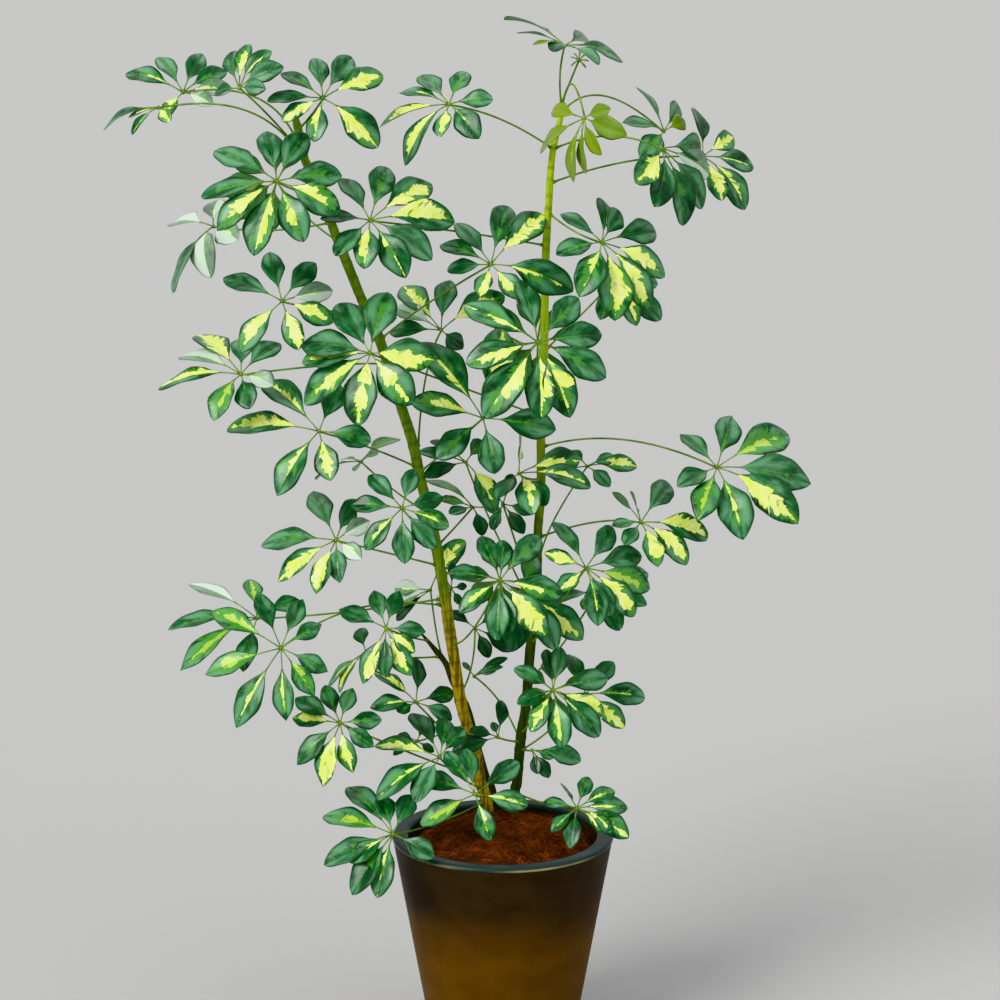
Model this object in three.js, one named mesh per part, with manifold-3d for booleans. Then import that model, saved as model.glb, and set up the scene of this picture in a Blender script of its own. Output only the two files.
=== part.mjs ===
// A potted umbrella plant: a tapered glazed pot, soil, a mound of coconut fibre, three stems, and the
// compound leaves that stand round them. Millimetres, +Z up, the origin in the middle of the pot's foot.
import * as THREE from "three";
import { mergeVertices } from "three/addons/utils/BufferGeometryUtils.js";
import Module from "manifold-3d";

const wasm = await Module();
wasm.setup();

// ---- Driving dimensions, mm ----
const POT_HEIGHT = 270;
const RIM_RADIUS = 136.5;
const FOOT_RADIUS = 88.5;
const LIP_WIDTH = 21;
const WALL_AT_FOOT = 8.5;
const POT_FLOOR = 9;
const SOIL_TOP = 234;
const COIR_EDGE = 251;
const COIR_RISE = 33;
const SEAT_GAP = 0.3;
const STEM_END = 196;
const HOLE_TOP = 312;
const HUB_RADIUS = 3.3;
const HUB_UP = 1;
const HUB_DOWN = 2.8;
const STALK_START = 1.6;
const STALK_HALF = 0.85;
const STALK_UP = 0.45;
const PETIOLE_RADIUS = 1.45;
const PETIOLE_BASE_RADIUS = 2.7;
const BLADE_UP = 0.4;
const BLADE_DOWN = 0.95;
const LEAST_EDGE = 0.03;
const POT_SIDES = 36;
const STEM_SIDES = 8;

// The plant is laid out from a fixed eye point in front of it. A place is [column, row] in a square
// picture of 1000 units that this eye sees, and a depth: the distance behind (+) or before (-) the pot's
// middle. EYE is the eye's place, mm, and EYE_TILT how far it looks down.
const EYE = new THREE.Vector3(-3.4, -2465.7, 1093);
const EYE_TILT = THREE.MathUtils.degToRad(9.4);
const PICTURE_MIDDLE = 500;
const PICTURE_FOCUS = 2080;
const AHEAD = new THREE.Vector3(0, Math.cos(EYE_TILT), -Math.sin(EYE_TILT));
const OVERHEAD = new THREE.Vector3(0, Math.sin(EYE_TILT), Math.cos(EYE_TILT));

function sight([column, row]) {
  return AHEAD.clone()
    .addScaledVector(OVERHEAD, (PICTURE_MIDDLE - row) / PICTURE_FOCUS)
    .add(new THREE.Vector3((column - PICTURE_MIDDLE) / PICTURE_FOCUS, 0, 0));
}

function atDepth(spot, depth) {
  const ray = sight(spot);
  return EYE.clone().addScaledVector(ray, (depth - EYE.y) / ray.y);
}

function onPlane(spot, point, normal) {
  const ray = sight(spot);
  return EYE.clone().addScaledVector(ray, point.clone().sub(EYE).dot(normal) / ray.dot(normal));
}

// ---- Stems: the middle line from the tip down to the soil, with depth and radius at its two ends. GROWTH
// says how the radius rises between them: evenly at 1, sooner below 1. ----
const STEMS = {
  left: {
    line: [[292, 110], [297, 125], [305, 160], [316, 178], [332, 225], [345, 258], [362, 300], [378, 335],
      [399, 400], [412, 440], [421, 481], [433, 530], [444, 591], [449, 626], [455, 664],
      [460, 698], [467, 725], [476, 756], [480, 782], [487, 805]],
    depth: [-30, 56],
    radius: [4.2, 7.4],
  },
  right: {
    line: [[562, 102], [560, 120], [553, 150], [550, 180], [549, 200], [547, 230], [545, 280],
      [544, 355], [541, 420], [541, 486], [538, 531], [537, 575], [535, 614], [530, 652],
      [526, 705], [521, 736], [517, 782], [515, 795]],
    depth: [22, 60],
    radius: [2.8, 6.4],
  },
  side: {
    line: [[420, 632], [437, 652], [446, 664], [453, 682], [467, 707], [476, 740], [486, 775], [494, 797]],
    depth: [62, 84],
    radius: [3.2, 4.2],
  },
};
const FOOT_DRIFT = 2;
const GROWTH = 0.65;
const SWELL = 0.07;
const TIP_TAPER = 0.3;

// ---- Leaves. on: the stem, and the row where the petiole leaves it. hub: where the leaflets meet.
// tips: the leaflets' ends, where needed with a turn of the blade about its rib, in degrees.
// via: a place that the petiole passes, [column, row, depth].
// faces: the way the leaf's upper side looks, [turn to the right, lift], in degrees; without it the leaf
// lies as its leaflets are most alike. slim and stalk: how broad its blades are, and the stalks' share of
// its leaflets, where they are unlike most.
const LEAVES = {
  leaf_01: { on: ["left", 141], hub: [183, 92], depth: -5, via: [255, 97, -20],
    tips: [[126, 73], [159, 57], [203, 54], [227, 71], [232, 89], [213, 105], [163, 119]] },
  leaf_01b: { on: ["left", 165], hub: [158, 107], depth: -40, via: [250, 112, -55], faces: [-20, 50],
    tips: [[103, 131], [128, 118], [132, 135], [170, 122]] },
  leaf_02: { on: ["left", 150], hub: [239, 88], depth: -75, via: [268, 115, -60],
    tips: [[233, 51], [249, 44], [272, 51], [284, 67], [266, 89], [215, 92]] },
  leaf_03: { on: ["left", 128], hub: [323, 98], depth: -70,
    tips: [[281, 73], [316, 58], [352, 57], [383, 75], [378, 148], [314, 142], [282, 122], [267, 101]] },
  leaf_04: { on: ["right", 148], hub: [449, 104], depth: -20, via: [500, 119, 10],
    tips: [[421, 75], [467, 72], [493, 100], [479, 139], [441, 137], [405, 166], [379, 128], [401, 92]] },
  leaf_05: { on: ["left", 195], hub: [277, 181], depth: -100,
    tips: [[214, 151], [267, 131], [306, 133], [342, 176], [340, 215], [304, 242], [254, 256],
      [217, 231], [201, 197]] },
  leaf_06: { on: ["right", 245], hub: [370, 220], depth: -80, via: [461, 232, 5],
    tips: [[341, 178], [387, 167], [432, 184], [455, 222], [432, 260], [406, 278], [364, 269], [335, 256],
      [320, 219]] },
  leaf_07: { on: ["left", 222], hub: [213, 226], depth: 25,
    tips: [[173, 224], [173, 293], [211, 278], [238, 240], [218, 200]] },
  leaf_08: { on: ["left", 312], hub: [282, 301], depth: -70,
    tips: [[224, 277], [269, 252], [316, 263], [333, 291], [333, 323], [299, 350], [240, 352]] },
  leaf_09: { on: ["left", 362], hub: [241, 374], depth: -15, via: [320, 366, -10],
    tips: [[198, 335], [180, 357], [158, 389], [214, 421], [250, 409], [274, 385], [280, 343], [244, 338]] },
  leaf_10: { on: ["right", 415], hub: [370, 353], depth: -110, via: [450, 383, 10], slim: 1.1, stalk: 0.14,
    tips: [[339, 303], [388, 292], [434, 360], [412, 405], [358, 426], [304, 404], [302, 362], [301, 344]] },
  leaf_11: { on: ["left", 464], hub: [319, 431], depth: -45, via: [368, 447, -25],
    tips: [[265, 382], [227, 429], [277, 496], [331, 481], [371, 442], [341, 385]] },
  leaf_11b: { on: ["left", 510], hub: [361, 461], depth: 45,
    tips: [[400, 439], [379, 453], [355, 471], [341, 460], [316, 480]] },
  leaf_12: { on: ["left", 448], hub: [441, 330], depth: 25, via: [426, 376, 20],
    tips: [[403, 286], [396, 308], [389, 332], [463, 349], [505, 296], [450, 280]] },
  leaf_13: { on: ["left", 338], hub: [491, 264], depth: -36, via: [430, 302, -25],
    tips: [[456, 223], [440, 245], [447, 271], [480, 297], [521, 299], [573, 292, 35], [544, 215],
      [508, 206]] },
  leaf_14: { on: ["right", 214], hub: [602, 242], depth: -35,
    tips: [[560, 214], [602, 199], [619, 210], [656, 232], [665, 277], [648, 309], [615, 321], [579, 297],
      [556, 255]] },
  leaf_14b: { on: ["right", 348], hub: [612, 283], depth: 50, via: [578, 318, 50],
    tips: [[637, 326], [661, 320], [658, 284], [600, 320], [577, 281]] },
  leaf_15: { on: ["right", 432], hub: [538, 342], depth: -106,
    tips: [[464, 305], [520, 279], [579, 298], [602, 335], [606, 378], [570, 418], [541, 419], [484, 418],
      [466, 364]] },
  leaf_17: { on: ["right", 110], hub: [584, 118], depth: -40, via: [572, 84, -5], slim: 0.8,
    tips: [[553, 109], [540, 152], [574, 183], [586, 174], [602, 155], [627, 135], [611, 109]] },
  leaf_18: { on: ["right", 104], hub: [565, 45], depth: 10, via: [560, 75, 14],
    tips: [[504, 20], [516, 33], [533, 45], [553, 52], [599, 65], [623, 62], [590, 42]] },
  leaf_20: { on: ["right", 112], hub: [664, 131], depth: 70, via: [605, 96, 50],
    tips: [[636, 87], [622, 123], [678, 104], [685, 121], [640, 158]] },
  leaf_21: { on: ["right", 147], hub: [662, 148], depth: -35, via: [610, 136, 5],
    tips: [[635, 183], [654, 207], [683, 226], [702, 209], [709, 175], [701, 149]] },
  leaf_21b: { on: ["right", 182], hub: [703, 156], depth: 55, via: [630, 161, 38],
    tips: [[734, 137], [754, 168], [745, 210], [722, 201], [694, 108]] },
  leaf_22: { on: ["right", 446], hub: [717, 467], depth: 15, via: [627, 440, 40],
    tips: [[680, 434], [732, 416], [789, 435], [811, 484], [798, 524], [743, 540], [698, 521], [677, 487]] },
  leaf_23: { on: ["right", 536], hub: [641, 522], depth: 5, via: [596, 522, 30],
    tips: [[612, 493, 55], [630, 492, 55], [669, 483], [708, 538], [687, 565], [658, 567], [624, 545],
      [612, 526]] },
  leaf_24: { on: ["right", 640], hub: [586, 568], depth: -42,
    tips: [[544, 553], [553, 522], [613, 527], [642, 556], [650, 589], [634, 617], [611, 616], [598, 626],
      [558, 591]] },
  leaf_24b: { on: ["right", 674], hub: [597, 592], depth: 34, via: [562, 645, 44],
    tips: [[648, 573], [647, 605], [619, 631], [583, 610], [552, 602]] },
  leaf_25: { on: ["right", 562], hub: [587, 466], depth: 120, via: [554, 520, 85],
    tips: [[637, 467], [610, 487], [617, 458], [570, 450], [550, 478]] },
  leaf_26: { on: ["right", 478], hub: [519, 473], depth: -15,
    tips: [[580, 461, 25], [591, 487], [546, 506], [533, 515], [497, 500], [519, 437, 70]] },
  leaf_27: { on: ["left", 470], hub: [483, 418], depth: -55,
    tips: [[421, 342], [411, 401], [437, 459], [495, 474], [556, 430], [503, 329]] },
  leaf_28: { on: ["left", 540], hub: [402, 508], depth: -85,
    tips: [[369, 475], [414, 469], [443, 498], [449, 527], [436, 549], [405, 564], [365, 550], [351, 505]] },
  leaf_29: { on: ["left", 563], hub: [336, 540], depth: -40, via: [388, 553, -10],
    tips: [[313, 491], [356, 499, 35], [370, 521, 30], [362, 559], [340, 583], [316, 594], [278, 582],
      [261, 546]] },
  leaf_30: { on: ["left", 643], hub: [500, 580], depth: -75, via: [474, 628, -10],
    tips: [[481, 536], [504, 540], [541, 537], [562, 596], [546, 636], [510, 634], [497, 641], [459, 613],
      [449, 572]] },
  leaf_31: { on: ["left", 604], hub: [281, 648], depth: -70, via: [355, 609, -20], slim: 0.88, stalk: 0.3,
    tips: [[212, 611], [257, 591], [303, 599], [322, 624], [328, 672], [315, 697], [286, 721], [236, 728],
      [205, 675]] },
  leaf_32: { on: ["left", 598], hub: [257, 618], depth: 0, via: [345, 612, 10], slim: 0.88, stalk: 0.3,
    tips: [[188, 584], [250, 579], [300, 600], [243, 672], [180, 671], [168, 630]] },
  leaf_33: { on: ["side", 640], hub: [386, 628], depth: -60,
    tips: [[374, 590], [400, 591], [426, 632], [415, 653], [411, 676], [386, 678], [363, 684], [339, 609]] },
  leaf_33b: { on: ["side", 655], hub: [366, 652], depth: 10,
    tips: [[360, 628], [328, 686], [339, 693], [388, 672]] },
  leaf_34: { on: ["left", 775], hub: [340, 723], depth: -65, via: [408, 752, 0],
    tips: [[295, 698], [325, 685], [353, 688], [382, 720], [374, 747], [353, 773], [323, 787], [297, 765],
      [292, 718]] },
  leaf_35: { on: ["right", 730], hub: [553, 690], depth: -45,
    tips: [[514, 668], [547, 649], [561, 647], [608, 678], [604, 715], [599, 737], [562, 749], [531, 732],
      [517, 704]] },
  leaf_35b: { on: ["right", 747], hub: [586, 694], depth: 15, via: [552, 728, 40],
    tips: [[568, 654], [614, 662], [645, 698], [624, 728]] },
  leaf_36: { on: ["left", 785], hub: [440, 757], depth: -50,
    tips: [[374, 746], [412, 713], [447, 719], [464, 728], [415, 803], [376, 800]] },
  leaf_37: { on: ["left", 793], hub: [475, 794], depth: -75,
    tips: [[446, 751], [466, 748], [520, 763], [528, 806], [490, 841], [420, 825], [419, 777]] },
  leaf_38: { on: ["left", 800], hub: [393, 834], depth: -100,
    tips: [[348, 787], [381, 795], [412, 795], [434, 858], [377, 898], [352, 895], [350, 863],
      [324, 865], [323, 816]] },
  leaf_39: { on: ["right", 792], hub: [577, 808], depth: -50,
    tips: [[543, 802], [560, 783, 45], [589, 777], [615, 791], [628, 808], [629, 838], [613, 832],
      [570, 849], [551, 832]] },
  leaf_40: { on: ["right", 606], hub: [466, 462], depth: 30, via: [490, 520, 20],
    tips: [[424, 477], [418, 452], [430, 441], [482, 440], [495, 512]] },
  leaf_40b: { on: ["left", 545], hub: [473, 507], depth: 60,
    tips: [[424, 480], [438, 500], [449, 514], [482, 536], [502, 512]] },
  leaf_41: { on: ["left", 764], hub: [416, 702], depth: 10, via: [442, 730, 25],
    tips: [[375, 673], [370, 708], [397, 712], [415, 657], [454, 693], [452, 720]] },
  leaf_42: { on: ["left", 694], hub: [475, 628], depth: 100, via: [472, 664, 80],
    tips: [[489, 658], [513, 651], [448, 611], [500, 612]] },
  leaf_45: { on: ["side", 657], hub: [430, 590], depth: 95, via: [436, 630, 85],
    tips: [[395, 588], [399, 604], [396, 620], [465, 540]] },
  leaf_47: { on: ["right", 622], hub: [520, 592], depth: -15,
    tips: [[535, 556], [583, 640], [556, 650], [512, 652]] },
};

// Young leaves and buds with hardly a petiole, which are one piece with their stem.
const SHOOTS = {
  right: [
    { row: 748, hub: [532, 750], depth: 30, tips: [[581, 761], [549, 778], [555, 757], [538, 774]] },
    { row: 741, hub: [498, 737], depth: 15, faces: [20, 30],
      tips: [[469, 730], [452, 752], [492, 722], [501, 700]] },
    { row: 104, hub: [579, 60], depth: 30, via: [570, 82, 26], slim: 0.5,
      tips: [[570, 57], [574, 53], [580, 51], [586, 54], [589, 61], [586, 68], [571, 66]] },
    { row: 738, hub: [474, 676], depth: 110, via: [499, 701, 95], slim: 0.6,
      tips: [[463, 662], [508, 658, 50], [503, 667], [496, 671]] },
    { row: 600, hub: [503, 504], depth: 25, via: [521, 560, 50],
      tips: [[524, 534], [534, 513], [513, 474], [486, 480], [492, 530]] },
  ],
  left: [
    { row: 626, hub: [451, 588], depth: 62,
      tips: [[467, 586], [453, 562], [436, 566], [436, 604], [461, 605]] },
  ],
  side: [
    { row: 722, hub: [417, 741], depth: 88,
      tips: [[398, 734], [393, 755], [426, 724], [434, 752]] },
  ],
};

// Leaves on the side away from the eye. Each stands back to back with a front leaf, drawn in behind it.
const BACK_LEAVES = {
  leaf_51: { on: ["left", 240], behind: "leaf_05", depth: 85 },
  leaf_52: { on: ["right", 300], behind: "leaf_15", depth: 140 },
  leaf_53: { on: ["left", 572], behind: "leaf_30", depth: 165 },
  leaf_54: { on: ["right", 700], behind: "leaf_35", depth: 150 },
};
const BACK_FACES = [165, 35];
const DRAWN_IN = 0.75;

// ---- Leaf proportions. A leaf's middle is a low dome: the height above its plane rises from the hub and
// falls towards the tips. Every blade is rolled a little about its rib, so that leaflets that stand close
// lie over each other on one side and under on the other, as roof tiles do. ----
const STALK_SHARE = 0.22;
const BLADE_WIDTH = 0.52;
const STATIONS = [[0.24, 0.52], [0.58, 1], [0.87, 0.74]];
const RIB_STATIONS = [0.3, 0.74];
const FOLD = 0.08;
const DOME_RISE = 0.26;
const DOME_FALL = 0.36;
const ROLL = THREE.MathUtils.degToRad(15);
const CROWDED_ANGLE = THREE.MathUtils.degToRad(32);
const WIDE_ANGLE = THREE.MathUtils.degToRad(120);

function facing([turn, lift]) {
  const [a, b] = [turn, lift].map(THREE.MathUtils.degToRad);
  return new THREE.Vector3(Math.sin(a) * Math.cos(b), -Math.cos(a) * Math.cos(b), Math.sin(b));
}

// The way a leaf faces that makes its leaflets most alike in length, near an easy lift of its face. Ways to
// face are in degrees; FACING_PULL is how strongly a leaf is drawn to facing forward at an easy lift.
const MOST_TURN = 50;
const TURN_STEP = 10;
const MOST_LIFT = 70;
const LIFT_STEP = 5;
const EASY_LIFT = 30;
const TURN_EASE = 60;
const LIFT_EASE = 45;
const FACING_PULL = 0.25;

function likelyFacing(hub, tips) {
  let best = null;
  for (let turn = -MOST_TURN; turn <= MOST_TURN; turn += TURN_STEP) {
    for (let lift = 0; lift <= MOST_LIFT; lift += LIFT_STEP) {
      const normal = facing([turn, lift]);
      const lengths = tips.map((tip) => onPlane(tip, hub, normal).distanceTo(hub));
      const mean = lengths.reduce((a, b) => a + b) / lengths.length;
      const spread = lengths.reduce((sum, l) => sum + Math.log(l / mean) ** 2, 0);
      const effort = (turn / TURN_EASE) ** 2 + ((lift - EASY_LIFT) / LIFT_EASE) ** 2;
      const strain = spread + FACING_PULL * effort;
      if (!best || strain < best.strain) best = { strain, normal };
    }
  }
  return best.normal;
}

// A mesh in the making: put adds a point, face adds triangles, and solid closes it.
function sketch() {
  const points = [];
  const faces = [];
  return {
    put: (point) => points.push(point) - 1,
    face: (...corners) => faces.push(...corners),
    solid: () => solid(points, faces),
  };
}

// A leaflet: a three-sided stalk, then a blade folded along its rib. Returns the stalk's first corners.
function leaflet(mesh, { rib, normal, roll, width, stalk }) {
  const { put, face } = mesh;
  const frameAt = (t) => {
    const at = rib.getPoint(t);
    const along = rib.getTangent(t);
    const right = along.clone().cross(normal).normalize();
    right.applyAxisAngle(along, roll * Math.min(1, t * 2));
    const up = right.clone().cross(along);
    return (sideways, lift) => put(at.clone().addScaledVector(right, sideways).addScaledVector(up, lift));
  };
  const ring = (t) => {
    const shift = frameAt(t);
    return [shift(STALK_HALF, STALK_UP), shift(-STALK_HALF, STALK_UP), shift(0, -BLADE_DOWN)];
  };
  const onBlade = (s) => stalk + (1 - stalk) * s;

  const [r, l, b] = ring(0);
  const [br, bl, bb] = ring(stalk);
  const edges = STATIONS.map(([s, share]) => {
    const shift = frameAt(onBlade(s));
    const half = (width / 2) * share;
    return [shift(half, half * FOLD), shift(-half, half * FOLD)];
  });
  const [[r1, l1], [r2, l2], [r3, l3]] = edges;
  const [m1, m2] = RIB_STATIONS.map((s) => frameAt(onBlade(s))(0, BLADE_UP));
  const [n1, n2] = RIB_STATIONS.map((s) => frameAt(onBlade(s))(0, -BLADE_DOWN));
  const tip = frameAt(1)(0, 0);
  face(l, r, br, l, br, bl, b, bb, br, b, br, r, bb, b, l, bb, l, bl);
  face(bl, br, m1, br, r1, m1, r1, r2, m1, m1, r2, m2, r2, r3, m2, r3, tip, m2);
  face(bl, m1, l1, l1, m1, l2, l2, m1, m2, l2, m2, l3, l3, m2, tip);
  face(br, bb, r1, r1, bb, n1, r1, n1, r2, r2, n1, n2, r2, n2, r3, r3, n2, tip);
  face(bb, bl, l1, bb, l1, n1, n1, l1, l2, n1, l2, n2, n2, l2, l3, n2, l3, tip);
  return [r, l, b];
}

// One compound leaf. Leaflets with room between them share the hub's corners; each one that stands close
// to its neighbour is a solid of its own, fused on, as two of them may cross.
function leafSolid(hub, normal, tips, slim, stalk) {
  const across = new THREE.Vector3(0, 0, 1).cross(normal).normalize();
  const upward = normal.clone().cross(across);
  const outward = (angle) =>
    across.clone().multiplyScalar(Math.cos(angle)).addScaledVector(upward, Math.sin(angle));

  const flats = tips.map((tip) => onPlane(tip, hub, normal).sub(hub));
  const mean = flats.reduce((sum, flat) => sum + flat.length(), 0) / flats.length;
  const dome = (r) => r * (DOME_RISE - (DOME_FALL * r) / mean);
  const shapeOf = ({ tip, angle, length }, startRadius) => {
    const end = onPlane(tip, hub.clone().addScaledVector(normal, dome(length)), normal);
    const start = hub.clone().addScaledVector(outward(angle), startRadius);
    const bend = hub.clone().lerp(end, 0.5).addScaledVector(normal, (DOME_RISE * length - dome(length)) / 2);
    const rib = new THREE.QuadraticBezierCurve3(start, bend, end);
    const roll = ROLL + THREE.MathUtils.degToRad(tip[2] ?? 0);
    const breadth = length < mean ? (length + mean) / 2 : length;
    return { rib, normal, roll, width: breadth * (1 - stalk) * BLADE_WIDTH * slim, stalk };
  };

  // The leaflets in their order round the hub, from the far side of the widest gap.
  const fullTurn = 2 * Math.PI;
  const around = flats
    .map((flat, i) => ({
      tip: tips[i],
      length: flat.length(),
      angle: Math.atan2(flat.dot(upward), flat.dot(across)),
    }))
    .sort((a, b) => a.angle - b.angle);
  const gaps = around.map(({ angle }, i) => (angle - around.at(i - 1).angle + fullTurn) % fullTurn);
  const first = gaps.indexOf(Math.max(...gaps));
  const ordered = [
    ...around.slice(first),
    ...around.slice(0, first).map((one) => ({ ...one, angle: one.angle + fullTurn })),
  ];
  const shared = [];
  const apart = [];
  for (const one of ordered) {
    const crowded = shared.length > 0 && one.angle - shared.at(-1).angle < CROWDED_ANGLE;
    (crowded ? apart : shared).push(one);
  }

  const mesh = sketch();
  const { put, face } = mesh;
  const top = put(hub.clone().addScaledVector(normal, HUB_UP));
  const bottom = put(hub.clone().addScaledVector(normal, -HUB_DOWN));
  const rings = shared.map((one) => leaflet(mesh, shapeOf(one, HUB_RADIUS)));
  rings.forEach(([r, l, b], i) => {
    const [nextR, , nextB] = rings[(i + 1) % rings.length];
    const from = shared[i].angle;
    const to = i + 1 < shared.length ? shared[i + 1].angle : shared[0].angle + fullTurn;
    const extra = Math.floor((to - from) / WIDE_ANGLE);
    face(top, r, l);
    if (!extra) {
      face(top, l, nextR, b, nextB, nextR, b, nextR, l, bottom, nextB, b);
      return;
    }
    const rim = Array.from({ length: extra }, (_, k) =>
      put(hub.clone().addScaledVector(outward(from + ((to - from) * (k + 1)) / (extra + 1)), HUB_RADIUS)),
    );
    face(top, l, rim[0], b, rim[0], l, bottom, rim[0], b);
    rim.slice(1).forEach((next, k) => face(top, rim[k], next, bottom, next, rim[k]));
    face(top, rim.at(-1), nextR, rim.at(-1), nextB, nextR, bottom, nextB, rim.at(-1));
  });
  return apart.reduce((leaf, one) => {
    const single = sketch();
    const [r, l, b] = leaflet(single, shapeOf(one, STALK_START));
    single.face(r, l, b);
    return leaf.add(single.solid());
  }, mesh.solid());
}

// ---- Solids ----
function solid(points, faces) {
  const vertProperties = new Float32Array(points.flatMap((p) => [p.x, p.y, p.z]));
  return new wasm.Manifold(new wasm.Mesh({ numProp: 3, vertProperties, triVerts: new Uint32Array(faces) }));
}

function solidOf(geometry) {
  const bare = geometry.clone();
  bare.deleteAttribute("normal");
  bare.deleteAttribute("uv");
  const merged = mergeVertices(bare, 1e-4);
  return new wasm.Manifold(
    new wasm.Mesh({
      numProp: 3,
      vertProperties: new Float32Array(merged.attributes.position.array),
      triVerts: new Uint32Array(merged.index.array),
    }),
  );
}

// A solid as a geometry, where corners joined by a very short edge become one corner.
function geometryOf(shape) {
  const { numProp, vertProperties, triVerts } = shape.getMesh();
  const corners = Array.from({ length: vertProperties.length / numProp }, (_, i) =>
    new THREE.Vector3().fromArray(vertProperties, i * numProp),
  );
  const sameAs = corners.map((_, i) => i);
  const first = (i) => (sameAs[i] === i ? i : first(sameAs[i]));
  const triangles = Array.from({ length: triVerts.length / 3 }, (_, i) => [
    ...triVerts.slice(3 * i, 3 * i + 3),
  ]);
  for (const triangle of triangles) {
    triangle.forEach((a, k) => {
      const b = triangle[(k + 1) % 3];
      if (corners[a].distanceTo(corners[b]) < LEAST_EDGE) sameAs[first(a)] = first(b);
    });
  }
  const kept = triangles
    .map((triangle) => triangle.map(first))
    .filter((triangle) => new Set(triangle).size === 3);
  const places = corners.flatMap((corner) => corner.toArray());
  const geometry = new THREE.BufferGeometry();
  geometry.setAttribute("position", new THREE.Float32BufferAttribute(places, 3));
  geometry.setIndex(kept.flat());
  return geometry;
}

// A tube through rings of points: centres with the way each ring faces and its radius.
const UPRIGHT = 0.9;

function tube(rings, sides) {
  const points = [];
  const faces = [];
  const upright = Math.abs(rings[0].along.z) > UPRIGHT;
  let across = upright ? new THREE.Vector3(1, 0, 0) : new THREE.Vector3(0, 0, 1);
  for (const { centre, along, radius } of rings) {
    const seed = across;
    across = seed.clone().addScaledVector(along, -seed.dot(along)).normalize();
    const other = along.clone().cross(across);
    for (let k = 0; k < sides; k++) {
      const angle = (2 * Math.PI * k) / sides;
      points.push(
        centre
          .clone()
          .addScaledVector(across, radius * Math.cos(angle))
          .addScaledVector(other, radius * Math.sin(angle)),
      );
    }
  }
  for (let i = 0; i + 1 < rings.length; i++) {
    for (let k = 0; k < sides; k++) {
      const [a, b] = [i * sides + k, i * sides + ((k + 1) % sides)];
      const [c, d] = [a + sides, b + sides];
      faces.push(a, b, d, a, d, c);
    }
  }
  const last = (rings.length - 1) * sides;
  for (let k = 1; k + 1 < sides; k++) {
    faces.push(0, k + 1, k);
    faces.push(last, last + k, last + k + 1);
  }
  return solid(points, faces);
}

// ---- Stems. Every other ring of a stem is a node, a little thicker than the stem between, and its tip is
// thin. ----
function stemRings({ line, depth, radius }) {
  const [topRow, footRow] = [line[0][1], line.at(-1)[1]];
  const centres = line.map((spot) => {
    const share = (spot[1] - topRow) / (footRow - topRow);
    return atDepth(spot, THREE.MathUtils.lerp(depth[0], depth[1], share));
  });
  const foot = centres.at(-1).clone();
  centres.push(foot.clone().add(new THREE.Vector3(FOOT_DRIFT, 0, STEM_END - foot.z)));
  return centres.map((centre, i) => {
    const before = centres[Math.max(0, i - 1)];
    const after = centres[Math.min(centres.length - 1, i + 1)];
    const share = Math.min(1, i / (centres.length - 2));
    const swell = i < centres.length - 2 && i % 2 ? 1 + SWELL : 1;
    const taper = i ? 1 : TIP_TAPER;
    return {
      centre,
      along: after.clone().sub(before).normalize(),
      radius: THREE.MathUtils.lerp(radius[0], radius[1], share ** GROWTH) * swell * taper,
    };
  });
}

const RINGS = Object.fromEntries(Object.entries(STEMS).map(([name, stem]) => [name, stemRings(stem)]));

function stemAt(name, row) {
  const { line } = STEMS[name];
  let i = line.findIndex((spot) => spot[1] >= row);
  i = Math.max(1, i < 0 ? line.length - 1 : i);
  const between = (row - line[i - 1][1]) / (line[i][1] - line[i - 1][1]);
  const [above, below] = [RINGS[name][i - 1], RINGS[name][i]];
  return {
    centre: above.centre.clone().lerp(below.centre, between),
    down: below.centre.clone().sub(above.centre).normalize(),
    radius: THREE.MathUtils.lerp(above.radius, below.radius, between),
  };
}

// ---- Petioles. One that passes no set place sags by a share of its length, most of the way along. A
// rooted one starts inside its stem. ----
const PETIOLE_STEPS = 4;
const PETIOLE_SIDES = 3;
const PETIOLE_END_BELOW = 1.4;
const SAG_PLACE = 0.55;
const SAG = 0.12;
const ROOT_DEPTH = 0.6;
const BASE_LENGTH = 0.1;

function petiole(stem, hub, normal, via, rooted) {
  const foot = hub.clone().addScaledVector(normal, -PETIOLE_END_BELOW);
  const toward = (via || foot).clone().sub(stem.centre);
  const out = toward.clone().addScaledVector(stem.down, -toward.dot(stem.down)).normalize();
  const gap = rooted ? -stem.radius * ROOT_DEPTH : SEAT_GAP;
  const start = stem.centre.clone().addScaledVector(out, stem.radius + gap);
  const middle = via
    ? via.clone().multiplyScalar(2).addScaledVector(start, -0.5).addScaledVector(foot, -0.5)
    : start.clone().lerp(foot, SAG_PLACE).addScaledVector(normal, -SAG * start.distanceTo(foot));
  const curve = new THREE.QuadraticBezierCurve3(start, middle, foot);
  const rings = [{ centre: start, along: out, radius: PETIOLE_BASE_RADIUS }];
  for (let i = 0; i < PETIOLE_STEPS; i++) {
    const t = THREE.MathUtils.lerp(BASE_LENGTH, 1, i / (PETIOLE_STEPS - 1));
    rings.push({ centre: curve.getPoint(t), along: curve.getTangent(t), radius: PETIOLE_RADIUS });
  }
  return tube(rings, PETIOLE_SIDES);
}

function wholeLeaf(stem, leaf, rooted = false) {
  const { hub, depth, tips, via, faces, slim = 1, stalk = STALK_SHARE } = leaf;
  const centre = atDepth(hub, depth);
  const normal = faces ? facing(faces) : likelyFacing(centre, tips);
  const pass = via && atDepth(via, via[2]);
  return leafSolid(centre, normal, tips, slim, stalk).add(petiole(stem, centre, normal, pass, rooted));
}

// ---- Pot, soil and coir: turned round the pot's axis ----
function turned(profile, sides) {
  const outline = profile.map(([r, z]) => new THREE.Vector2(r, z));
  return new THREE.LatheGeometry(outline, sides).rotateX(Math.PI / 2);
}

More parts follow.
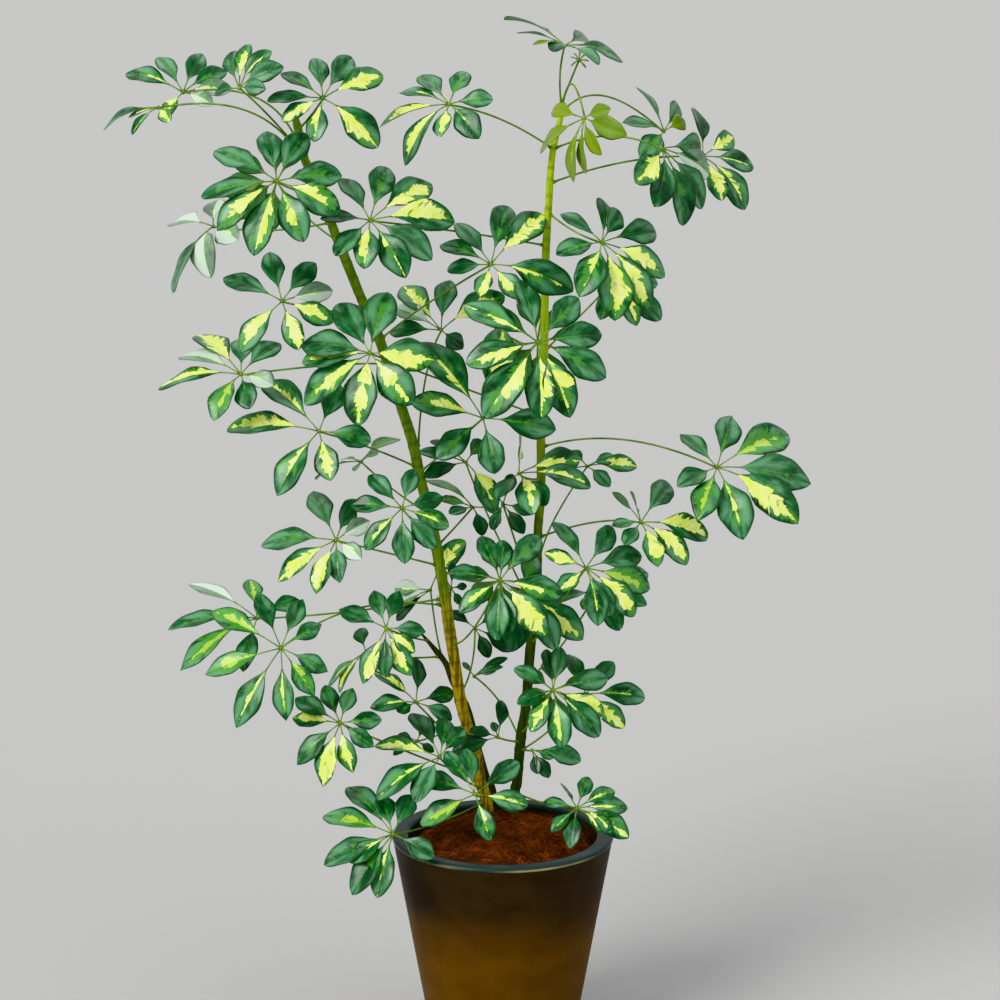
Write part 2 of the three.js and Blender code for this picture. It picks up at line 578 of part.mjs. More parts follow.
// The foot's edge: [how far inside the foot's radius, height]. The lip is broad and nearly flat; over from
// outside to inside: [how far inside the rim's radius, how far below the top]. The outer wall is straight
// between the two, and the inner one from the lip down to the floor, so the wall thins towards the foot.
const FOOT_EDGE = [[4, 0], [1, 1.2], [0, 4]];
const LIP = [[1.2, 6], [0, 4.8], [0, 2.6], [1.4, 0.7], [4, 0], [17.5, 0.6], [20.2, 2.2]];
const LIP_INNER_DROP = 5;
const INNER_FOOT_RADIUS = FOOT_RADIUS - WALL_AT_FOOT;
const INNER_HEIGHT = POT_HEIGHT - LIP_INNER_DROP - POT_FLOOR;
const INNER_SLOPE = (RIM_RADIUS - LIP_WIDTH - INNER_FOOT_RADIUS) / INNER_HEIGHT;
const innerRadius = (z) => INNER_FOOT_RADIUS + INNER_SLOPE * (z - POT_FLOOR);

function potGeometry() {
  const profile = [
    [0, 0],
    ...FOOT_EDGE.map(([inset, z]) => [FOOT_RADIUS - inset, z]),
    ...LIP.map(([inset, drop]) => [RIM_RADIUS - inset, POT_HEIGHT - drop]),
    [innerRadius(POT_HEIGHT - LIP_INNER_DROP), POT_HEIGHT - LIP_INNER_DROP],
    [innerRadius(POT_FLOOR), POT_FLOOR],
    [0, POT_FLOOR],
  ];
  return turned(profile, POT_SIDES);
}

function soilSolid() {
  const foot = POT_FLOOR + SEAT_GAP;
  const profile = [
    [0, foot],
    [innerRadius(foot) - SEAT_GAP, foot],
    [innerRadius(SOIL_TOP) - SEAT_GAP, SOIL_TOP],
    [0, SOIL_TOP],
  ];
  return solidOf(turned(profile, POT_SIDES));
}

// The coir's top: a mound of rings, with tufts from two crossed waves. At the mound's edge there are none.
// A wave is given by its lengths along x and y.
const MOUND_RINGS = [1, 0.86, 0.68, 0.5, 0.3, 0.12];
const TUFT_HEIGHT = 1.6;
const TUFT_EDGE = 1;
const TUFT_WAVES = [[5.3, 9.1], [-11, 6.1]];

function tuft(x, y) {
  const [one, other] = TUFT_WAVES.map(([alongX, alongY]) => x / alongX + y / alongY);
  return TUFT_HEIGHT * Math.sin(one) * Math.cos(other);
}

function coirSolid() {
  const foot = SOIL_TOP + SEAT_GAP;
  const edge = innerRadius(COIR_EDGE) - SEAT_GAP;
  const mound = (share) => [share * edge, COIR_EDGE + COIR_RISE * (1 - share * share)];
  const profile = [[0, foot], [innerRadius(foot) - SEAT_GAP, foot]];
  profile.push(...MOUND_RINGS.map(mound), [0, COIR_EDGE + COIR_RISE]);
  const geometry = turned(profile, POT_SIDES);
  const places = geometry.attributes.position;
  for (let i = 0; i < places.count; i++) {
    const [x, y, z] = [places.getX(i), places.getY(i), places.getZ(i)];
    const inside = Math.hypot(x, y) < edge - TUFT_EDGE && z > COIR_EDGE;
    if (inside) places.setZ(i, z + tuft(x, y));
  }
  return solidOf(geometry);
}

// A plain round hole along a stem's straight foot, open upward.
const HOLE_SIDES = 12;

function stemHole(name) {
  const [above, foot] = RINGS[name].slice(-2).map((ring) => ring.centre);
  const radius = (STEMS[name].radius[1] + SEAT_GAP) / Math.cos(Math.PI / HOLE_SIDES);
  const along = above.clone().sub(foot).normalize();
  const length = (HOLE_TOP - foot.z) / along.z;
  const hole = new THREE.CylinderGeometry(radius, radius, length, HOLE_SIDES);
  const middle = foot.clone().addScaledVector(along, length / 2 - SEAT_GAP);
  hole.applyQuaternion(new THREE.Quaternion().setFromUnitVectors(new THREE.Vector3(0, 1, 0), along));
  return solidOf(hole.translate(middle.x, middle.y, middle.z));
}

// ---- Assembly ----
const material = (color, roughness, metalness = 0) =>
  new THREE.MeshStandardMaterial({ color, roughness, metalness });
const plant = new THREE.Group();

function place(name, geometry, finish) {
  const mesh = new THREE.Mesh(geometry, finish);
  mesh.name = name;
  plant.add(mesh);
}

place("pot", potGeometry(), material("#2b2a26", 0.35, 0.25));

const stemNames = Object.keys(STEMS);
const drilled = (shape) => stemNames.reduce((left, name) => left.subtract(stemHole(name)), shape);
place("soil", geometryOf(drilled(soilSolid())), material("#2a1a10", 0.95));
place("coir", geometryOf(drilled(coirSolid())), material("#4a1c0e", 0.95));

const STEM_COLORS = { left: "#8a7a2a", right: "#5f7a24", side: "#33401c" };
for (const name of stemNames) {
  const shoots = SHOOTS[name].map((shoot) => wholeLeaf(stemAt(name, shoot.row), shoot, true));
  const whole = shoots.reduce((stem, shoot) => stem.add(shoot), tube(RINGS[name], STEM_SIDES));
  place(`stem_${name}`, geometryOf(whole), material(STEM_COLORS[name], 0.6));
}

const LEAF_COLOR = "#1f6b33";
const LEAF_ROUGHNESS = 0.3;
for (const [name, leaf] of Object.entries(LEAVES)) {
  place(name, geometryOf(wholeLeaf(stemAt(...leaf.on), leaf)), material(LEAF_COLOR, LEAF_ROUGHNESS));
}

for (const [name, { on, behind, depth }] of Object.entries(BACK_LEAVES)) {
  const { hub, tips: frontTips } = LEAVES[behind];
  const tips = frontTips.map((tip) => hub.map((middle, i) => middle + (tip[i] - middle) * DRAWN_IN));
  const whole = wholeLeaf(stemAt(...on), { hub, depth, tips, faces: BACK_FACES });
  place(name, geometryOf(whole), material(LEAF_COLOR, LEAF_ROUGHNESS));
}

export default plant;
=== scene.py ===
# %% [markdown]
# # A potted umbrella plant
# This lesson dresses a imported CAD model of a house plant: a glazed pot, a mat of coconut fibre, three woody
# stems, and whorls of variegated leaflets. The CAD model fixes where everything is, and is loaded first.
# Every visible piece is then made again, finer, in the place of its CAD node.

# %% Load the frame
import math
import random
import bpy
import numpy as np
from mathutils import Matrix, Vector, noise


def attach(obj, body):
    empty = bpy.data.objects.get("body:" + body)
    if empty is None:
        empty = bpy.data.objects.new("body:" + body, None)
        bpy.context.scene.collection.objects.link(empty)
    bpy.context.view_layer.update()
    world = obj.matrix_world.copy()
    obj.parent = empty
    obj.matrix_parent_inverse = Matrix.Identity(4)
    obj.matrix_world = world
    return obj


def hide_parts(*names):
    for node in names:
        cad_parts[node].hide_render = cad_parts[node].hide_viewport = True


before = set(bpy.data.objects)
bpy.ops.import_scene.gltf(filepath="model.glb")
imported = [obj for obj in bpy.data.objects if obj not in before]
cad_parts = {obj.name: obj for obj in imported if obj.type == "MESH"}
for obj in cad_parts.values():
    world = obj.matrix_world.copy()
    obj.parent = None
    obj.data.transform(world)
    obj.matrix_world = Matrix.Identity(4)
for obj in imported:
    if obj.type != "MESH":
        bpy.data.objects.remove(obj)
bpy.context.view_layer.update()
MM = 0.001
print("CAD nodes:", len(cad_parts))

# %% [markdown]
# ## Where things are
# The plant was laid out from one eye point. A place is a column and a row in a square picture of 1000 units
# that this eye sees, and a depth behind the pot's middle. Reading the same numbers here as in the CAD
# source keeps each fine piece exactly where its plain solid is. Lengths are in millimetres until a mesh is
# made.

# %% The eye and its rays
EYE = Vector((-3.4, -2465.7, 1093))
EYE_TILT = math.radians(9.4)
PICTURE_SIZE = 1000
PICTURE_MIDDLE = PICTURE_SIZE / 2
PICTURE_FOCUS = 2080
AHEAD = Vector((0, math.cos(EYE_TILT), -math.sin(EYE_TILT)))
OVERHEAD = Vector((0, math.sin(EYE_TILT), math.cos(EYE_TILT)))


def sight(spot):
    column, row = spot[0], spot[1]
    return (AHEAD + OVERHEAD * ((PICTURE_MIDDLE - row) / PICTURE_FOCUS)
            + Vector(((column - PICTURE_MIDDLE) / PICTURE_FOCUS, 0, 0)))


def at_depth(spot, depth):
    ray = sight(spot)
    return EYE + ray * ((depth - EYE.y) / ray.y)


def on_plane(spot, point, normal):
    ray = sight(spot)
    return EYE + ray * ((point - EYE).dot(normal) / ray.dot(normal))


# %% The camera
def add_object(name, data):
    made = bpy.data.objects.new(name, data)
    bpy.context.scene.collection.objects.link(made)
    return made


camera_data = bpy.data.cameras.new("camera")
camera_data.sensor_width = 36
camera_data.lens = PICTURE_FOCUS * camera_data.sensor_width / PICTURE_SIZE
camera_data.clip_end = 100
camera = add_object("camera", camera_data)
camera.location = EYE * MM
camera.rotation_euler = (math.radians(90) - EYE_TILT, 0, 0)
bpy.context.scene.camera = camera
print("camera at", [round(v, 3) for v in camera.location], "lens", round(camera_data.lens, 2), "mm")

# %% [markdown]
# ## Mesh making
# All fine pieces come from two small tools. A `Sketch` gathers points, faces and numbers for each point,
# and turns them into one object. A `tube` runs a round section along a line, with a radius at each step.
# Numbers kept on the points, such as how far along a leaflet a point is, are what the materials read later.
# A curve object with a bevel would also make stems, but it can't carry such numbers.

# %% Sketch
class Sketch:
    def __init__(self):
        self.points, self.faces, self.slots, self.values = [], [], [], {}

    def put(self, point, **values):
        self.points.append((point[0] * MM, point[1] * MM, point[2] * MM))
        index = len(self.points) - 1
        for name, value in values.items():
            self.values.setdefault(name, {})[index] = value
        return index

    def face(self, corners, slot=0):
        self.faces.append(corners)
        self.slots.append(slot)

    def piece(self, name, materials, kinds):
        mesh = bpy.data.meshes.new(name)
        mesh.from_pydata(self.points, [], self.faces)
        for material in materials:
            mesh.materials.append(material)
        mesh.polygons.foreach_set("material_index", self.slots)
        mesh.polygons.foreach_set("use_smooth", [True] * len(self.faces))
        for key, kind in kinds.items():
            width = {"FLOAT": 1, "FLOAT_VECTOR": 3, "FLOAT_COLOR": 4}[kind]
            table = np.zeros((len(self.points), width), np.float32)
            for index, value in self.values.get(key, {}).items():
                table[index] = value
            field = {"FLOAT": "value", "FLOAT_VECTOR": "vector", "FLOAT_COLOR": "color"}[kind]
            mesh.attributes.new(key, kind, "POINT").data.foreach_set(field, table.ravel())
        mesh.update()
        return add_object(name, mesh)


# %% Tube
def tube(sketch, centres, radii, sides, slot=0, shape=None, **values):
    """Rings along centres; shape(i, angle) may scale a radius. The ends are closed."""
    rings = []
    across = None
    for i, centre in enumerate(centres):
        before, after = centres[max(0, i - 1)], centres[min(len(centres) - 1, i + 1)]
        along = (after - before).normalized()
        seed = across or (Vector((1, 0, 0)) if abs(along.z) > 0.9 else Vector((0, 0, 1)))
        across = (seed - along * seed.dot(along)).normalized()
        other = along.cross(across)
        ring = []
        for k in range(sides):
            angle = 2 * math.pi * k / sides
            radius = radii[i] * (shape(i, angle) if shape else 1)
            spot = centre + across * (radius * math.cos(angle)) + other * (radius * math.sin(angle))
            ring.append(sketch.put(spot, **values))
        rings.append(ring)
    for low, high in zip(rings, rings[1:]):
        for k in range(sides):
            following = (k + 1) % sides
            sketch.face((low[k], low[following], high[following], high[k]), slot)
    sketch.face(tuple(reversed(rings[0])), slot)
    sketch.face(tuple(rings[-1]), slot)
    return rings


def smooth_line(points, steps):
    """A smooth line (Catmull-Rom) through points, with so many steps between each two."""
    line = []
    for i in range(len(points) - 1):
        p0, p1 = points[max(0, i - 1)], points[i]
        p2, p3 = points[i + 1], points[min(len(points) - 1, i + 2)]
        for k in range(steps):
            t = k / steps
            line.append(0.5 * (2 * p1 + (p2 - p0) * t + (2 * p0 - 5 * p1 + 4 * p2 - p3) * t * t
                               + (3 * p1 - p0 - 3 * p2 + p3) * t ** 3))
    line.append(points[-1].copy())
    return line


print("mesh tools ready")

# %% [markdown]
# ## Shader tools
# Several finishes need the same effects: patchy colour, fine grain, and streaks that follow a length. Each
# is a node group with named inputs, built once and placed in each material with its own values. The groups
# only put out masks and heights; the shader itself stays in the material, where its own settings can be
# seen. A `Value` stands for an output of a node, so that a mask can be written as plain arithmetic.

# %% Values
class Value:
    """An output of a node. Arithmetic on values adds the nodes that work it out."""

    def __init__(self, socket):
        self.socket = socket

    def __add__(self, other):
        return calculate("ADD", self, other)

    def __mul__(self, other):
        return calculate("MULTIPLY", self, other)

    def __sub__(self, other):
        return calculate("SUBTRACT", self, other)

    def __rsub__(self, other):
        return calculate("SUBTRACT", other, self)

    def __abs__(self):
        return calculate("ABSOLUTE", self)

    __radd__, __rmul__ = __add__, __mul__


def wire(socket, value):
    """Links a socket to a value, or sets it to a constant."""
    if isinstance(value, Value):
        socket.id_data.links.new(value.socket, socket)
    else:
        socket.default_value = value


def node(kind, inputs, **settings):
    """Adds a node to the tree that its inputs come from, and gives its outputs."""
    tree = next(value.socket.id_data for value in inputs.values() if isinstance(value, Value))
    made = tree.nodes.new(kind)
    for name, setting in settings.items():
        setattr(made, name, setting)
    for label, value in inputs.items():
        wire(made.inputs[label], value)
    return [Value(socket) for socket in made.outputs]


def calculate(operation, *values, clamp=False):
    return node("ShaderNodeMath", dict(enumerate(values)), operation=operation, use_clamp=clamp)[0]


def blend(mask, a, b):
    return node("ShaderNodeMix", {0: mask, 6: a, 7: b}, data_type="RGBA")[2]


def ramp(value, low, high):
    """0 below low and 1 above high, with soft ends."""
    return node("ShaderNodeMapRange", {0: value, 1: low, 2: high}, interpolation_type="SMOOTHSTEP")[0]


def fall(value, low, high):
    """1 below low and 0 above high, with soft ends."""
    return ramp(value * -1.0, -high, -low)


def noise_value(place, scale, detail=3.0, roughness=0.55):
    return node("ShaderNodeTexNoise",
                {"Vector": place, "Scale": scale, "Detail": detail, "Roughness": roughness})[0]


def stretch(place, *scale):
    return node("ShaderNodeMapping", {"Vector": place, "Scale": scale})[0]


def parts(vector):
    return node("ShaderNodeSeparateXYZ", {0: vector})


def rgb(red, green, blue):
    """A colour as a screen shows it, 0 to 255, turned to the linear light that shaders work in."""
    def linear(v):
        v /= 255
        return v / 12.92 if v <= 0.04045 else ((v + 0.055) / 1.055) ** 2.4
    return (linear(red), linear(green), linear(blue), 1)


# %% Groups
def new_group(name, places, numbers, output):
    """A group that takes places and numbers by name; gives it, its inputs' values and its output's socket."""
    group = bpy.data.node_groups.new(name, "ShaderNodeTree")
    for label in places:
        group.interface.new_socket(label, in_out="INPUT", socket_type="NodeSocketVector")
    for label, default in numbers.items():
        socket = group.interface.new_socket(label, in_out="INPUT", socket_type="NodeSocketFloat")
        socket.default_value = default
    group.interface.new_socket(output, in_out="OUTPUT", socket_type="NodeSocketFloat")
    given = {socket.name: Value(socket) for socket in group.nodes.new("NodeGroupInput").outputs}
    return group, given, group.nodes.new("NodeGroupOutput").inputs[output]


def use(group, **inputs):
    inputs = {label.replace("_", " "): value for label, value in inputs.items()}
    return node("ShaderNodeGroup", inputs, node_tree=group)[0]


# %% Patches
patches, given, mask = new_group("patches", ["Place"], {"Scale": 5, "Amount": 0.5, "Softness": 0.15}, "Mask")
cloud = noise_value(given["Place"], given["Scale"], 4)
middle = 0.8 - given["Amount"] * 0.6
wire(mask, ramp(cloud, middle - given["Softness"], middle + given["Softness"]))
print("group:", patches.name)


def patch(place, amount, softness, scale=1):
    return use(patches, Place=place, Scale=scale, Amount=amount, Softness=softness)


# %% Grain
grain, given, height = new_group("fine grain", ["Place"], {"Coarse": 200, "Fine": 900, "Fine Share": 0.4},
                                 "Height")
coarse = noise_value(given["Place"], given["Coarse"], 2)
fine = noise_value(given["Place"], given["Fine"], 2)
wire(height, coarse + fine * given["Fine Share"])
print("group:", grain.name)

# %% [markdown]
# ### Feathered streak
# The yellow of a variegated leaflet starts at the stalk and runs along the midrib, often on one side only.
# Its edge is torn into long teeth that point forward, because it follows the side veins. The group compares
# the distance from the midrib with a width for each side, which fades towards an end, and shakes that edge
# with a noise that is stretched along the veins.

# %% Feathered streak
streak, given, mask = new_group(
    "feathered streak", ["Grain"],
    {"Along": 0.5, "Side": 0, "Left": 0.5, "Right": 0.5, "End": 0.9, "Feather": 1.6, "Edge": 0.06}, "Mask")
on_right = ramp(given["Side"], -0.03, 0.03)
width = given["Right"] * on_right + given["Left"] * (1.0 - on_right)
fade = ramp(given["End"] - given["Along"], 0.0, 0.42)
swell = fade * (calculate("POWER", 2.72, given["Along"] * -7.0) + 1.0)
teeth = noise_value(given["Grain"], 1.0, 2, 0.6)
drift = noise_value(stretch(given["Grain"], 0.3, 0.5, 1), 1.0, 1)
shake = (drift - 0.5) * 1.7 + (teeth - 0.52) * given["Feather"]
shake *= calculate("MULTIPLY", width, 2.2, clamp=True)
inside = width * swell + shake - abs(given["Side"])
started = calculate("MULTIPLY", width, 12.0, clamp=True)
wire(mask, started * ramp(inside, 0.0, given["Edge"]))
print("group:", streak.name)


# %% New material
def new_material(name, roughness, **settings):
    material = bpy.data.materials.new(name)
    material.use_nodes = True
    shader = material.node_tree.nodes["Principled BSDF"]
    wire(shader.inputs["Roughness"], roughness)
    for label, value in settings.items():
        wire(shader.inputs[label.replace("_", " ")], value)
    return material, shader


def object_place(shader):
    return Value(shader.id_data.nodes.new("ShaderNodeTexCoord").outputs["Object"])


def read(shader, name, output):
    """A number, vector or colour that is kept on the mesh's points."""
    attribute = shader.id_data.nodes.new("ShaderNodeAttribute")
    attribute.attribute_name = name
    return Value(attribute.outputs[output])


def paint(shader, color):
    wire(shader.inputs["Base Color"], color)


def bump(shader, height, strength, distance):
    inputs = {"Height": height, "Strength": strength, "Distance": distance}
    wire(shader.inputs["Normal"], node("ShaderNodeBump", inputs)[0])


def two_tone(name, roughness, colors, scale, softness, grains, strength, distance):
    """Two colours in soft patches; grains are the coarse scale, the fine scale and the fine one's share."""
    material, shader = new_material(name, roughness)
    place = object_place(shader)
    paint(shader, blend(patch(place, 0.5, softness, scale), *colors))
    coarse, fine, share = grains
    bump(shader, use(grain, Place=place, Coarse=coarse, Fine=fine, Fine_Share=share), strength, distance)
    return material


# %% [markdown]
# ## The leaf's finish
# A leaflet is dark green, leathery and glossy above, and paler and duller below. Between the yellow middle
# and the dark green lies a soft zone of middle green. Some light is painted in as well: a sheen in the
# middle of each half, a highlight along the margin, a whitish glare on some leaflets and a deep shade on
# others. Numbers kept on each leaflet's points say how wide the yellow is on its two sides, where it ends,
# and how much pallor and painted glare, painted shade, young olive and lime the blade has. One material
# then serves all of the leaflets, and no two look the same, because the noise starts at another place in
# each.

# %% Blade colours
DARK_GREEN = rgb(22, 98, 44)
DEEP_GREEN = rgb(2, 48, 16)
SHEEN_GREEN = rgb(108, 168, 124)
MIDDLE_GREEN = rgb(84, 156, 60)
YELLOW = rgb(228, 248, 94)
CREAM = rgb(250, 255, 168)
LIME = rgb(150, 190, 58)
YOUNG_GREEN = rgb(122, 148, 22)
PALLOR_AND_GLARE_GREEN = rgb(220, 235, 220)
UNDER_GREEN = rgb(96, 146, 84)
VEIN_GREEN = rgb(128, 172, 84)
MARGIN_HIGHLIGHT_GREEN = rgb(150, 190, 120)
SHADED_GREEN = rgb(6, 30, 14)

# %% Blade places
blade_material, shader = new_material("leaf_blade", 0.34, Specular_IOR_Level=0.3, Coat_Weight=0.3,
                                      Coat_Roughness=0.18)
along, side, under = parts(read(shader, "blade_place", "Vector"))
along_mm, across_mm, seed = parts(read(shader, "blade_mm", "Vector"))
left_width, right_width, end = node("ShaderNodeSeparateColor", {0: read(shader, "blade_streaks", "Color")})
middle_width = read(shader, "blade_streaks", "Alpha")
pallor_and_glare, dark, young = node("ShaderNodeSeparateColor", {0: read(shader, "blade_tones", "Color")})
lime = read(shader, "blade_tones", "Alpha")

# Side veins leave the midrib forwards, so a place measured along them has the across length taken off.
from_rib = abs(side)
from_rib_mm = abs(across_mm)
vein_line = from_rib_mm * -0.85 + along_mm


def vein_place(along_scale, across_scale, shift):
    """A place for noise, stretched along the side veins, and another one in each leaflet."""
    cells = {0: vein_line * along_scale, 1: across_mm * across_scale, 2: seed + shift}
    return node("ShaderNodeCombineXYZ", cells)[0]


# %% Blade zones
VEIN_PITCH = 1.15
middle_zone = use(streak, Along=along, Side=side, Grain=vein_place(0.2, 0.06, 40.0),
                  Left=left_width + middle_width, Right=right_width + middle_width, End=end + 0.25,
                  Feather=1.5, Edge=0.3)
yellow_zone = use(streak, Along=along, Side=side, Grain=vein_place(0.2, 0.05, 0.0), Left=left_width,
                  Right=right_width, End=end, Feather=1.0, Edge=0.07)
islands = patch(vein_place(0.16, 0.06, 90.0), 0.3, 0.05)
mottle = patch(vein_place(0.08, 0.07, 15.0), 0.5, 0.2)
sheen = patch(vein_place(0.03, 0.05, 60.0), 0.5, 0.12)
half_middle = ramp(from_rib, -0.1, 0.4) - ramp(from_rib, 0.55, 1.05)
midrib = fall(from_rib_mm, 0.15, 0.7) * (1.0 - along)
glare_half = ramp(side, -0.06, 0.06) * 0.75 + 0.25

# %% Blade material
color = blend(mottle, DEEP_GREEN, DARK_GREEN)
# Painted sheen: broad pale grey-green patches in the middle of each half of the blade stand in for the gloss
# reflecting the bright room.
color = blend(sheen * half_middle * 0.8, color, SHEEN_GREEN)
color = blend(middle_zone * 0.75, color, MIDDLE_GREEN)
yellow = blend(lime, blend(mottle, YELLOW, CREAM), LIME)
color = blend(yellow_zone * (islands * -0.75 + 1.0), color, yellow)
color = blend(midrib * 0.4, color, VEIN_GREEN)
color = blend(young, color, YOUNG_GREEN)
# Painted glare: the 'w' leaflets are whitened, most on one half, where light glances off the gloss; the
# little that 'p' leaflets get is their own pallor.
color = blend(pallor_and_glare * glare_half, color, PALLOR_AND_GLARE_GREEN)
# Painted highlight: a pale line along the margin, laid over the shade of the curled-down edge.
color = blend(ramp(from_rib, 0.9, 1.0) * 0.45, color, MARGIN_HIGHLIGHT_GREEN)
# Painted shade: the 'k' leaflets, in the shade deep inside the plant, are darkened towards SHADED_GREEN.
color = blend(dark, color, SHADED_GREEN)
paint(shader, blend(under * 0.7, color, UNDER_GREEN))
wire(shader.inputs["Roughness"], mottle * 0.08 + (under * 0.22 + 0.3))
ribs = calculate("MULTIPLY_ADD", calculate("SINE", vein_line * VEIN_PITCH), 0.5, 0.5, clamp=True)
leather = use(grain, Place=vein_place(1.0, 1.0, 0.0), Coarse=0.7, Fine=2.4, Fine_Share=0.5)
bump(shader, calculate("POWER", ribs, 5.0) * -0.45 + leather, 0.3, 0.0006)
print("material:", blade_material.name)

# %% Stalk material
stalk_material = two_tone("leaf_stalk", 0.42, (rgb(66, 112, 30), rgb(128, 160, 48)), 60, 0.25,
                          (500, 1800, 0.5), 0.2, 0.0004)
print("material:", stalk_material.name)

# %% [markdown]
# ## Stems
# The left stem is the thickest: woody and tan low down, green above. The right one is green with rings
# where leaves stood, and the side one is thin and dark. Each is a tube through the same rings as its CAD
# solid. Ring scars are a little thicker than the stem and are cut in at their upper edge, so they catch the
# light.

# %% Stem lines
STEMS = {
    "left": dict(
        line=[(292, 110), (297, 125), (305, 160), (316, 178), (332, 225), (345, 258), (362, 300),
              (378, 335), (399, 400), (412, 440), (421, 481), (433, 530), (444, 591), (449, 626),
              (455, 664), (460, 698), (467, 725), (476, 756), (480, 782), (487, 805)],
        depth=(-30, 56), radius=(4.2, 7.4)),
    "right": dict(
        line=[(562, 102), (560, 120), (553, 150), (550, 180), (549, 200), (547, 230), (545, 280),
              (544, 355), (541, 420), (541, 486), (538, 531), (537, 575), (535, 614), (530, 652),
              (526, 705), (521, 736), (517, 782), (515, 795)],
        depth=(22, 60), radius=(2.8, 6.4)),
    "side": dict(
        line=[(420, 632), (437, 652), (446, 664), (453, 682), (467, 707), (476, 740), (486, 775),
              (494, 797)],
        depth=(62, 84), radius=(3.2, 4.2)),
}

FOOT_DRIFT = 2
STEM_END = 196
SWELL = 0.07
TIP_TAPER = 0.3
GROWTH = 0.65


def stem_rings(name):
    line, depth, radius = (STEMS[name][key] for key in ("line", "depth", "radius"))
    top_row, foot_row = line[0][1], line[-1][1]
    centres = [at_depth(spot, depth[0] + (depth[1] - depth[0]) * (spot[1] - top_row) / (foot_row - top_row))
               for spot in line]
    foot = centres[-1]
    centres.append(foot + Vector((FOOT_DRIFT, 0, STEM_END - foot.z)))
    rings = []
    for i, centre in enumerate(centres):
        share = min(1, i / (len(centres) - 2))
        swell = 1 + SWELL if i < len(centres) - 2 and i % 2 else 1
        taper = swell if i else TIP_TAPER
        rings.append((centre, (radius[0] + (radius[1] - radius[0]) * share ** GROWTH) * taper))
    return rings


RINGS = {name: stem_rings(name) for name in STEMS}


def stem_at(name, row):
    line = STEMS[name]["line"]
    i = next((k for k, spot in enumerate(line) if spot[1] >= row), len(line) - 1)
    i = max(1, i)
    between = (row - line[i - 1][1]) / (line[i][1] - line[i - 1][1])
    (above, above_radius), (below, below_radius) = RINGS[name][i - 1], RINGS[name][i]
    return (above.lerp(below, between), (below - above).normalized(),
            above_radius + (below_radius - above_radius) * between)


print("stem rings:", {name: len(rings) for name, rings in RINGS.items()})


# %% Bark materials
def bark(name, low_color, streak_color, high_color, gray, turn_low, turn_high):
    """Bark that turns from one colour to another between two heights, in metres, streaked along the stem."""
    material, shader = new_material(name, 0.55, Specular_IOR_Level=0.35)
    place = object_place(shader)
    drift = noise_value(stretch(place, 60, 60, 9), 1.0, 3)
    high = ramp((drift - 0.5) * 0.35 + parts(place)[2], turn_low, turn_high)
    streaks = patch(stretch(place, 230, 230, 16), 0.42, 0.07)
    specks = patch(stretch(place, 300, 300, 170), 0.2, 0.04)
    low_bark = blend(streaks, low_color, streak_color)
    high_bark = blend(streaks * 0.5, high_color, gray)
    color = blend(specks * 0.6, blend(high, low_bark, high_bark), rgb(62, 46, 24))
    paint(shader, blend(read(shader, "bark_scar", "Fac") * 0.6, color, rgb(70, 56, 26)))
    ridges = noise_value(stretch(place, 420, 420, 30), 1.0, 3)
    cracks = use(grain, Place=place, Coarse=260, Fine=1100, Fine_Share=0.4)
    bump(shader, ridges * 1.2 + cracks, 0.45, 0.0009)
    return material


BARKS = {
    "left": bark("bark_left", rgb(200, 172, 42), rgb(118, 92, 20), rgb(108, 142, 34), rgb(62, 96, 24),
                 0.4, 0.62),
    "right": bark("bark_right", rgb(46, 72, 14), rgb(30, 44, 10), rgb(176, 206, 40), rgb(112, 148, 26),
                  0.5, 1.0),
    "side": bark("bark_side", rgb(52, 62, 20), rgb(32, 34, 12), rgb(58, 78, 24), rgb(38, 52, 16),
                 0.4, 0.6),
}
BARK_SLOTS = {"left": "bark", "right": "green_bark", "side": "dark_bark"}
SCAR_SPACING = {"left": 13, "right": 17, "side": 20}
print("materials:", *(material.name for material in BARKS.values()))

# %% Stem tubes
STEM_STEPS = 14
STEM_ROUND = 20
SCAR_WIDTH = 2.6
SCAR_COLOR_RISE = 3.2
SCAR_COLOR_WIDTH = 1.9
FIRST_SCAR = 0.6
SCAR_STEPS = (0.7, 1.35)
SCAR_SIZES = (0.6, 1.0)
SCAR_BULGE, SCAR_CUT, SCAR_CUT_ABOVE = 0.09, 0.05, 1.5
UNEVEN, UNEVEN_ROUND, UNEVEN_LENGTH = 0.025, 1.5, 18


def scar_places(lengths, spacing, draw):
    """For each ring scar: how far down the stem it is, the side it is widest on, and its size."""
    scars = []
    next_scar = spacing * FIRST_SCAR
    for length in lengths:
        if length > next_scar:
            scars.append((length, draw.uniform(0, 2 * math.pi), draw.uniform(*SCAR_SIZES)))
            next_scar = length + spacing * draw.uniform(*SCAR_STEPS)
    return scars


